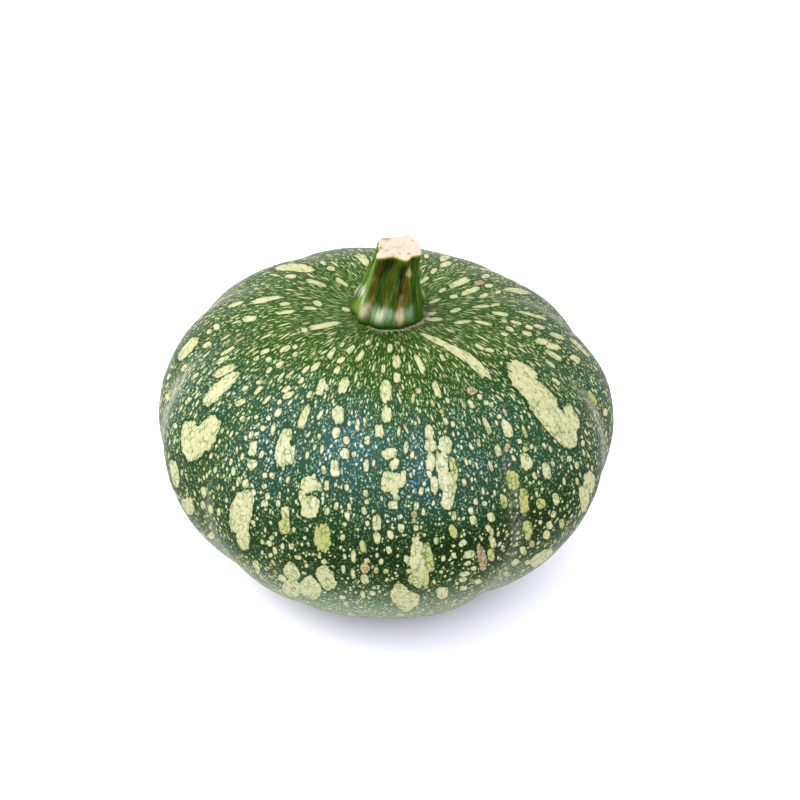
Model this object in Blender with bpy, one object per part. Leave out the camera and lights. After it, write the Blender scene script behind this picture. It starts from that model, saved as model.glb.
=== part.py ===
"""Kabocha squash: an uneven-ribbed fruit with its flared, five-angled stem. Metres, +Z up.

The origin is the middle of the flat spot that the fruit rests on. Azimuths are in degrees,
anticlockwise from +X as seen from above, and the side shown in the photograph faces -Y.
"""
import math

import bmesh
import bpy

# Fruit: a turned profile of two superellipse halves, meeting at the widest ring
FRUIT_WIDTH = 0.180
CROWN_HEIGHT = 0.0585
CROWN_POWER = 2.08
UNDER_DEPTH = 0.0774
UNDER_POWER = 1.78
FLATTENED_DEPTH = 0.063
FLATTENING = 8.0
DIMPLE_DEPTH = 0.0088
DIMPLE_RADIUS = 0.029
SHOULDER_LEAN = 0.035
FRUIT_COLOUR = (0.055, 0.110, 0.045)
FRUIT_ROUGHNESS = 0.45

# Ribs: each groove's azimuth in degrees and its depth in metres at the widest ring
GROOVES = (
    (19.0, 0.0031),
    (49.0, 0.0018),
    (92.0, 0.0025),
    (123.0, 0.0029),
    (159.0, 0.0024),
    (192.0, 0.0026),
    (222.0, 0.0030),
    (243.0, 0.0014),
    (259.0, 0.0010),
    (303.0, 0.0038),
    (343.0, 0.0027),
)
GROOVE_HALF_WIDTH = 8.0
GROOVE_SHARPNESS = 1.35

# Latitudes, in degrees of the turned profile
SEAT_LATITUDE = 81.0
REST_LATITUDE = -72.0
SHOULDER_RISES = (0.0, 40.0)
SHOULDER_ENDS = (55.0, SEAT_LATITUDE)
GROOVES_FADE_TOP = (48.0, 80.0)
GROOVES_FADE_UNDER = (-45.0, -72.0)
LATITUDE_STEP = 4.5
FRUIT_SEGMENTS = 96

# Stem: the place of its foot, its size, and how far the cut top leans from the foot
STEM_X = 0.0008
STEM_Y = -0.0030
STEM_SHIFT_FROM = 35.0
STEM_HEIGHT = 0.0265
STEM_TOP_RADIUS = 0.0073
STEM_FOOT_RADIUS = 0.0134
STEM_FLARE_POWER = 1.6
STEM_FOOT_TUCK = 0.0012
STEM_TUCK_SHARE = 0.07
STEM_COLOUR = (0.120, 0.140, 0.030)
STEM_ROUGHNESS = 0.70
STEM_LEAN_X = 0.0043
STEM_LEAN_POWER = 1.2
STEM_SEGMENTS = 60
STEM_RINGS = 14
STEM_RING_CROWDING = 1.5
GAP = 0.0003

# Stem ridges: azimuth in degrees, height at the cut top and height at the foot, in metres
STEM_RIDGES = (
    (20.0, 0.0001, 0.0015),
    (69.0, 0.0022, 0.0017),
    (105.0, 0.0005, 0.0014),
    (141.0, 0.0025, 0.0017),
    (180.0, 0.0006, 0.0015),
    (225.0, 0.0043, 0.0018),
    (255.0, 0.0001, 0.0015),
    (284.0, 0.0030, 0.0017),
    (308.0, 0.0005, 0.0013),
    (326.0, 0.0021, 0.0016),
)
STEM_RIDGE_HALF_WIDTH = 15.0


def smooth_step(low, high, value):
    """0 at low, 1 at high, and a smooth rise between them."""
    share = min(max((value - low) / (high - low), 0.0), 1.0)
    return share * share * (3.0 - 2.0 * share)


def turn_between(azimuth, other):
    """The angle from one azimuth to another, within half a turn, in degrees."""
    return (azimuth - other + 180.0) % 360.0 - 180.0


def groove_depth(azimuth, latitude):
    """How far the skin is drawn in towards the axis by the grooves between the ribs."""
    strength = 1.0 - smooth_step(*GROOVES_FADE_TOP, latitude)
    strength *= 1.0 - smooth_step(*GROOVES_FADE_UNDER, latitude)
    depth = 0.0
    for groove_azimuth, full_depth in GROOVES:
        away = abs(turn_between(azimuth, groove_azimuth)) / GROOVE_HALF_WIDTH
        depth += full_depth * math.exp(-away ** GROOVE_SHARPNESS)
    return depth * strength


def profile(latitude):
    """Radius and height above the widest ring of the turned profile."""
    half_width = FRUIT_WIDTH / 2.0
    along = math.cos(math.radians(latitude))
    rise = abs(math.sin(math.radians(latitude)))
    if latitude >= 0.0:
        radius = half_width * along ** (2.0 / CROWN_POWER)
        height = CROWN_HEIGHT * rise ** (2.0 / CROWN_POWER)
        return radius, height - DIMPLE_DEPTH * math.exp(-(radius / DIMPLE_RADIUS) ** 2)
    radius = half_width * along ** (2.0 / UNDER_POWER)
    depth = max(UNDER_DEPTH * rise ** (2.0 / UNDER_POWER), 1.0e-6)
    return radius, -(depth ** -FLATTENING + FLATTENED_DEPTH ** -FLATTENING) ** (-1.0 / FLATTENING)


def fruit_point(azimuth, latitude):
    """A point of the skin, with the flat seat of the stem and the flat resting spot."""
    radius, height = profile(latitude)
    height = profile(SEAT_LATITUDE)[1] if latitude > SEAT_LATITUDE else height
    height = profile(REST_LATITUDE)[1] if latitude < REST_LATITUDE else height
    radius -= groove_depth(azimuth, latitude)
    angle = math.radians(azimuth)
    x = radius * math.cos(angle)
    y = radius * math.sin(angle)
    shoulder = smooth_step(*SHOULDER_RISES, latitude) * (1.0 - smooth_step(*SHOULDER_ENDS, latitude))
    height -= SHOULDER_LEAN * x * shoulder
    shift = smooth_step(STEM_SHIFT_FROM, SEAT_LATITUDE, latitude)
    return x + STEM_X * shift, y + STEM_Y * shift, height - profile(REST_LATITUDE)[1]


def stem_point(azimuth, share):
    """A point of the stem's side; share is 0 at the foot and 1 at the cut top."""
    radius = STEM_TOP_RADIUS
    radius += (STEM_FOOT_RADIUS - STEM_TOP_RADIUS) * (1.0 - share) ** STEM_FLARE_POWER
    radius -= STEM_FOOT_TUCK * (1.0 - smooth_step(0.0, STEM_TUCK_SHARE, share))
    for ridge_azimuth, top_height, foot_height in STEM_RIDGES:
        away = turn_between(azimuth, ridge_azimuth) / STEM_RIDGE_HALF_WIDTH
        height = foot_height + (top_height - foot_height) * share
        radius += height * math.exp(-away ** 2)
    angle = math.radians(azimuth)
    x = STEM_X + STEM_LEAN_X * share ** STEM_LEAN_POWER + radius * math.cos(angle)
    y = STEM_Y + radius * math.sin(angle)
    seat_height = fruit_point(0.0, SEAT_LATITUDE)[2]
    return x, y, seat_height + GAP + STEM_HEIGHT * share


def skin_material(name, colour, roughness):
    """A plain coloured surface."""
    material = bpy.data.materials.new(name)
    material.use_nodes = True
    surface = material.node_tree.nodes["Principled BSDF"]
    surface.inputs["Base Color"].default_value = (*colour, 1.0)
    surface.inputs["Roughness"].default_value = roughness
    surface.inputs["Metallic"].default_value = 0.0
    return material


def finish_object(name, bm, material, sharp_degrees):
    """Turn a bmesh into a named, smooth-shaded object."""
    bmesh.ops.recalc_face_normals(bm, faces=bm.faces)
    mesh = bpy.data.meshes.new(name)
    bm.to_mesh(mesh)
    bm.free()
    mesh.materials.append(material)
    mesh.shade_smooth()
    mesh.set_sharp_from_angle(angle=math.radians(sharp_degrees))
    item = bpy.data.objects.new(name, mesh)
    bpy.context.scene.collection.objects.link(item)
    return item


def make_fruit():
    """The ribbed body: a globe of latitude rings, each point moved onto the skin."""
    bm = bmesh.new()
    rings = round(180.0 / LATITUDE_STEP)
    bmesh.ops.create_uvsphere(bm, u_segments=FRUIT_SEGMENTS, v_segments=rings, radius=1.0)
    flat_tops = ([], [])
    for vert in bm.verts:
        latitude = math.degrees(math.asin(max(-1.0, min(1.0, vert.co.z))))
        latitude = round(latitude / LATITUDE_STEP) * LATITUDE_STEP
        azimuth = math.degrees(math.atan2(vert.co.y, vert.co.x))
        if latitude > SEAT_LATITUDE:
            flat_tops[0].append(vert)
        if latitude < REST_LATITUDE:
            flat_tops[1].append(vert)
        vert.co = fruit_point(azimuth, latitude)
    for verts in flat_tops:
        bmesh.ops.dissolve_verts(bm, verts=verts)
    fruit_skin = skin_material("fruit_skin", FRUIT_COLOUR, FRUIT_ROUGHNESS)
    return finish_object("fruit", bm, fruit_skin, 60.0)


def make_stem():
    """The ridged stalk: a cylinder cut into rings, each point moved onto the stem's side."""
    bm = bmesh.new()
    bmesh.ops.create_cone(bm, cap_ends=True, segments=STEM_SEGMENTS, radius1=1.0, radius2=1.0, depth=1.0)
    upright = [edge for edge in bm.edges if abs(edge.verts[0].co.z - edge.verts[1].co.z) > 0.5]
    bmesh.ops.subdivide_edges(bm, edges=upright, cuts=STEM_RINGS - 1, use_grid_fill=True)
    for vert in bm.verts:
        azimuth = math.degrees(math.atan2(vert.co.y, vert.co.x))
        share = min(max(vert.co.z + 0.5, 0.0), 1.0) ** STEM_RING_CROWDING
        vert.co = stem_point(azimuth, share)
    stem_skin = skin_material("stem_skin", STEM_COLOUR, STEM_ROUGHNESS)
    return finish_object("stem", bm, stem_skin, 45.0)


def main():
    for item in list(bpy.data.objects):
        bpy.data.objects.remove(item)
    make_fruit()
    make_stem()


if __name__ == "__main__":
    main()
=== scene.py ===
"""Looks of a kabocha squash: its speckled rind, its dried stem and the stage it stands on.

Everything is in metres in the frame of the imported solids, except where a name or comment says mm.
Azimuths are in degrees, anticlockwise from +X as seen from above.
"""

import math
from collections import namedtuple
from functools import partial

import bmesh
import bpy
import numpy as np
from bpy.props import FloatProperty, FloatVectorProperty, IntProperty, PointerProperty
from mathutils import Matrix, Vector, geometry
from mathutils.bvhtree import BVHTree


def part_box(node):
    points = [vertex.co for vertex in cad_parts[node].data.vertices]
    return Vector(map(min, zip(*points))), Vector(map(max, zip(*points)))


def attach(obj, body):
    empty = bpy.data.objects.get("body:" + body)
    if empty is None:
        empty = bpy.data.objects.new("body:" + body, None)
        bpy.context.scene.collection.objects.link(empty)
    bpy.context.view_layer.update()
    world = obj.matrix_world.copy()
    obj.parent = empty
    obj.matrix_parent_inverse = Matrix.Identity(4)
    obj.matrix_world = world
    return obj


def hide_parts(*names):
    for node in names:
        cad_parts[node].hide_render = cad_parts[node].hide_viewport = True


bl_info = {
    "name": "Kabocha Squash",
    "version": (1, 0, 0),
    "blender": (4, 5, 0),
    "location": "View3D > Sidebar > Squash",
    "description": "Models and finishes a speckled kabocha squash with its stem and stage",
    "category": "Add Mesh",
}

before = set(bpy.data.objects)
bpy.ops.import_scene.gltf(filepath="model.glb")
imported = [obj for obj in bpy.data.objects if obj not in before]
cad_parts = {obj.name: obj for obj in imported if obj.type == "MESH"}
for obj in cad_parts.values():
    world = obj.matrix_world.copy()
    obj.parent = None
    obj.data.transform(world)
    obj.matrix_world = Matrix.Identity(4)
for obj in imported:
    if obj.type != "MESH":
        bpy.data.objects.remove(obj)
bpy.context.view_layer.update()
STEM_LOW, STEM_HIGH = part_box("stem")
MM = 1000.0

# Fruit: the same turned profile as the solid, two superellipse halves that meet at the widest ring
CROWN_POWER = 2.08
UNDER_POWER = 1.78
FLATTENED_DEPTH = 0.063
FLATTENING = 8.0
DIMPLE_RADIUS = 0.029
SHOULDER_LEAN = 0.035
SEAT_LATITUDE = 81.0
REST_LATITUDE = -72.0
SHOULDER_RISES = (0.0, 40.0)
SHOULDER_ENDS = (55.0, SEAT_LATITUDE)
STEM_SHIFT_FROM = 35.0
STEM_X = 0.0008
STEM_Y = -0.003

# Ribs: each groove's azimuth in degrees and its depth in metres at the widest ring
GROOVES = (
    (19.0, 0.0031), (49.0, 0.0018), (92.0, 0.0025), (123.0, 0.0029), (159.0, 0.0024), (192.0, 0.0026),
    (222.0, 0.003), (243.0, 0.0014), (259.0, 0.001), (303.0, 0.0038), (343.0, 0.0027),
)
GROOVE_HALF_WIDTH = 8.0
GROOVE_SHARPNESS = 1.35
GROOVES_FADE_TOP = (48.0, 80.0)
GROOVES_FADE_UNDER = (-45.0, -72.0)

# Latitudes of the globe, and those of the skin that they are moved to: closer together near the stem
RING_STOPS = (-90.0, -84.0, 40.0, 90.0)
LATITUDE_STOPS = (-90.0, -72.0, 52.0, 90.0)

# Growth: the skin stretched while its spots formed, less near the stem, in mm of arc from the widest ring
TABLE_STEPS = 1441
GROWTH_SLOPE = 0.8
GROWTH_SLOPE_LOSS = 0.44
GROWTH_SLOWS = (32.0, 95.0)

# Colour zones, in degrees: the bluish zone, partly wax bloom and partly a painted reflection of the
# bluish window and sky on the front; the upper green; the dark band, painted shade low on the front; and
# the pale underside, partly dust and partly painted light from the white floor; with how strong the
# bluish zone and the band are on the other sides, as shares
SHEEN_AND_BLOOM_AZIMUTH = 263.0
SHEEN_AND_BLOOM_HALF_WIDTH = 42.0
SHEEN_AND_BLOOM_LATITUDE = 32.0
SHEEN_AND_BLOOM_HALF_HEIGHT = 20.0
SHEEN_AND_BLOOM_ELSEWHERE = 0.2
UPPER_ZONE = (40.0, 66.0)
# Painted shade: a dark band low on the front, and a painted shadow on the skin in front of the stem
PAINTED_SHADE_AZIMUTH = 292.0
PAINTED_SHADE_HALF_WIDTH = 55.0
PAINTED_SHADE_ELSEWHERE = 0.3
PAINTED_SHADE_LATITUDE = 1.0
PAINTED_SHADE_HALF_HEIGHT = 15.0
PAINTED_STEM_SHADOW = 0.4
PAINTED_STEM_SHADOW_ZONE = (60.0, 76.0)
# The pale veil low down is partly dust and partly painted light thrown up from the white floor, weaker at
# the very base
DUST_AND_FLOOR_BOUNCE_ZONE = (-36.0, -8.0)
BASE_ZONE = (-66.0, -50.0)
BASE_DUST_AND_FLOOR_BOUNCE = 0.4

# Silvery bands along the grooves, partly scuffs and partly painted sheen near the fruit's left and right
# edges: azimuth, half width, lowest and highest latitude, strength
SCUFFS_AND_SHEEN = (
    (159.0, 3.0, 8.0, 50.0, 0.45), (192.0, 3.2, -20.0, 32.0, 0.8), (19.0, 2.5, 5.0, 55.0, 0.3),
    (343.0, 2.2, -14.0, 30.0, 0.65), (303.0, 2.0, -35.0, 25.0, 0.25), (49.0, 2.5, 0.0, 40.0, 0.3),
    (92.0, 2.5, -5.0, 30.0, 0.3), (123.0, 2.5, 0.0, 40.0, 0.3), (222.0, 2.0, -40.0, 10.0, 0.3),
)
SCUFF_AND_SHEEN_FADE = 10.0

# Skin relief: lengths in metres, latitudes and azimuths in degrees, the collar's ends as shares, and
# how far in mm its colour is pushed off where it doesn't show
LUMP_HEIGHT = 0.00022
LUMPS_FADE = (-50.0, REST_LATITUDE)
COLLAR_RADIUS = 0.0153
COLLAR_HALF_WIDTH = 0.0009
COLLAR_HEIGHT = 0.0004
COLLAR_AZIMUTH = 297.0
COLLAR_HALF_TURN = 56.0
COLLAR_ENDS = (0.8, 1.4)
COLLAR_UNEVENNESS = 0.35
COLLAR_PUSHED_MM = 6.0
BLOSSOM_DIMPLE = 0.001
BLOSSOM_DIMPLE_RADIUS = 0.015

# Seeded unevenness: its seed, how many waves, and their shortest and longest length, the first two in
# metres and the others in mm
SKIN_LUMPS = (3, 26, (0.014, 0.045))
COLLAR_LUMPS = (5, 12, (0.003, 0.008))
STEM_LINES = (11, 30, (0.7, 2.2))
CUT_FIBRES = (21, 24, (0.9, 3.5))
STRIPE_WOBBLE = (31, 16, (1.5, 6.0))
STRIPE_RISE = (33, 16, (1.5, 5.0))
STAIN_CRUMBLE = (35, 16, (0.8, 3.0))

# Stem ridges: azimuth in degrees, height at the cut top and height at the foot, in metres
STEM_RIDGES = (
    (20.0, 0.0001, 0.0015), (69.0, 0.0022, 0.0017), (105.0, 0.0005, 0.0014), (141.0, 0.0025, 0.0017),
    (180.0, 0.0006, 0.0015), (225.0, 0.0043, 0.0018), (255.0, 0.0001, 0.0015), (284.0, 0.003, 0.0017),
    (308.0, 0.0005, 0.0013), (326.0, 0.0021, 0.0016),
)
STEM_RIDGE_HALF_WIDTH = 15.0
STEM_FLARE_POWER = 1.6
STEM_FOOT_TUCK = 0.0012
STEM_TUCK_SHARE = 0.07
STEM_LEAN_POWER = 1.2
STEM_RING_CROWDING = 1.5
STEM_SINK = 0.0009
STEM_SINK_SHARE = 0.1
ALMOST_ALL = 0.999
STRIATION_HEIGHT = 0.00013
CUT_RINGS = 16

# Swellings round the stem's foot: azimuth and height in metres
SWELLINGS = (
    (20.0, 0.0008), (62.0, 0.0009), (105.0, 0.0007), (150.0, 0.0009), (192.0, 0.0008), (228.0, 0.0009),
    (257.0, 0.0011), (290.0, 0.0012), (330.0, 0.0007),
)
SWELLING_HALF_WIDTH = 10.0
SWELLING_SHARE = 0.13
SWELLING_HALF_SHARE = 0.11

# Stem tints
RIDGE_GREEN = "#5f7a2c"
LEAF_GREEN = "#294208"
DARK_GREEN = "#183600"
OLIVE = "#3c440a"
DRY_BROWN = "#4a380c"
BLACK_BROWN = "#221a02"
TAN = "#7c6c3a"
NEAR_BLACK = "#070a00"
# The white and cream stand partly for wax bloom and partly for painted highlights on the foot's swellings
WAX_AND_HIGHLIGHT_WHITE = "#a0a88a"
WAXY_TEAL = "#5f8462"
WAX_AND_HIGHLIGHT_CREAM = "#9a9272"
SCAR_CREAM = "#a89a68"

# Stem stripes: azimuth, half width in degrees, lowest and highest share of the height, tint
STEM_STRIPES = (
    (200.0, 9.0, 0.05, 1.0, RIDGE_GREEN), (218.0, 6.0, 0.15, 1.0, RIDGE_GREEN),
    (232.0, 5.0, 0.12, 0.93, DRY_BROWN), (245.0, 8.0, 0.12, 0.95, DARK_GREEN),
    (261.0, 7.0, 0.1, 0.9, OLIVE), (274.0, 6.0, 0.1, 0.92, LEAF_GREEN),
    (284.0, 6.0, 0.15, 0.92, BLACK_BROWN), (288.0, 4.0, 0.12, 0.5, TAN),
    (293.0, 4.0, 0.35, 0.8, DRY_BROWN), (301.0, 5.0, 0.1, 0.95, OLIVE),
    (311.0, 6.0, 0.08, 0.97, DARK_GREEN), (322.0, 6.0, 0.08, 1.0, LEAF_GREEN),
    (337.0, 7.0, 0.05, 1.0, RIDGE_GREEN), (0.0, 9.0, 0.05, 0.98, LEAF_GREEN),
    (20.0, 9.0, 0.05, 1.0, LEAF_GREEN), (45.0, 7.0, 0.08, 0.95, DRY_BROWN),
    (72.0, 8.0, 0.08, 1.0, RIDGE_GREEN), (93.0, 8.0, 0.05, 0.92, BLACK_BROWN),
    (103.0, 4.0, 0.1, 0.8, TAN), (122.0, 7.0, 0.05, 0.95, DARK_GREEN),
    (143.0, 9.0, 0.05, 1.0, RIDGE_GREEN), (163.0, 7.0, 0.1, 0.95, OLIVE),
    (180.0, 7.0, 0.05, 1.0, LEAF_GREEN),
)

# Stem patches: azimuth, half width in degrees, middle and half height as shares of the height, tint
# The white and cream patches low on the stem lie on the foot's swellings: partly wax bloom, partly
# painted highlights
STEM_PATCHES = (
    (247.0, 19.0, 0.88, 0.12, NEAR_BLACK), (281.0, 9.0, 0.78, 0.17, NEAR_BLACK),
    (299.0, 8.0, 0.77, 0.06, SCAR_CREAM), (236.0, 5.0, 0.72, 0.1, BLACK_BROWN),
    (110.0, 12.0, 0.9, 0.07, NEAR_BLACK), (226.0, 8.0, 0.22, 0.12, WAX_AND_HIGHLIGHT_CREAM),
    (211.0, 8.0, 0.31, 0.13, WAX_AND_HIGHLIGHT_WHITE), (257.0, 10.0, 0.19, 0.1, WAX_AND_HIGHLIGHT_WHITE),
    (272.0, 7.0, 0.17, 0.09, WAXY_TEAL), (288.0, 8.0, 0.18, 0.1, WAX_AND_HIGHLIGHT_CREAM),
    (242.0, 7.0, 0.19, 0.1, WAXY_TEAL), (304.0, 7.0, 0.18, 0.1, WAXY_TEAL),
    (193.0, 8.0, 0.34, 0.09, WAX_AND_HIGHLIGHT_WHITE), (20.0, 10.0, 0.18, 0.1, WAX_AND_HIGHLIGHT_CREAM),
    (62.0, 9.0, 0.17, 0.1, WAX_AND_HIGHLIGHT_WHITE), (105.0, 8.0, 0.16, 0.09, WAXY_TEAL),
    (150.0, 9.0, 0.18, 0.1, WAX_AND_HIGHLIGHT_CREAM),
)

# How strongly the stripes are laid, over what share their ends fade, and how far they wander
STRIPE_STRENGTH = 0.9
STRIPE_FOOT_FADE = 0.08
STRIPE_TOP_FADE = 0.03
STRIPE_WOBBLE_DEGREES = 2.6
STRIPE_RISE_SHARE = 0.022

# The radius in mm that the stem's patterns are rolled on, and how they are stretched along it
STEM_ROUND = 10.0
LINES_STRETCH = (1.0, 1.0, 0.08)
WOBBLE_STRETCH = (0.6, 0.6, 0.15)
RISE_STRETCH = (1.0, 1.0, 0.3)

# Cut top, in mm from its middle: a pit's x, y, radius and depth, and a stain's x, y, radius and colour
CUT_PITS = (
    (0.4, -4.2, 0.45, 0.9), (3.4, -5.0, 0.5, 0.9), (-3.0, 1.5, 0.6, 0.4), (2.0, 3.0, 0.6, 0.4),
    (-4.6, -2.4, 0.4, 0.5),
)
CUT_STAINS = (
    (-4.6, 6.6, 1.7, "#8a6236"), (-7.4, -1.0, 1.5, TAN), (6.2, 4.8, 1.3, TAN),
    (0.4, -4.2, 0.5, DRY_BROWN), (3.4, -5.0, 0.6, DRY_BROWN), (-4.6, -2.4, 0.4, DRY_BROWN),
    (-2.2, -6.0, 1.0, "#a08a6a"),
)
STAIN_STRENGTH = 0.85
STAIN_CRUMBLE_MM = 0.45
CUT_ROUGHNESS_MM = 0.1
CUT_RIM_MM = 0.35
CUT_RIM_FROM = 0.45

# The view that the pale marks are read in, 800 pixels each way
PICTURE_PIXELS = 800.0
SENSOR_MM = 36.0
FOCAL_LENGTH_MM = 71.8
VIEW_ELEVATION = 34.6
VIEW_DISTANCE = 0.63
RING_PIXEL = (385.5, 417.3)

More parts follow.
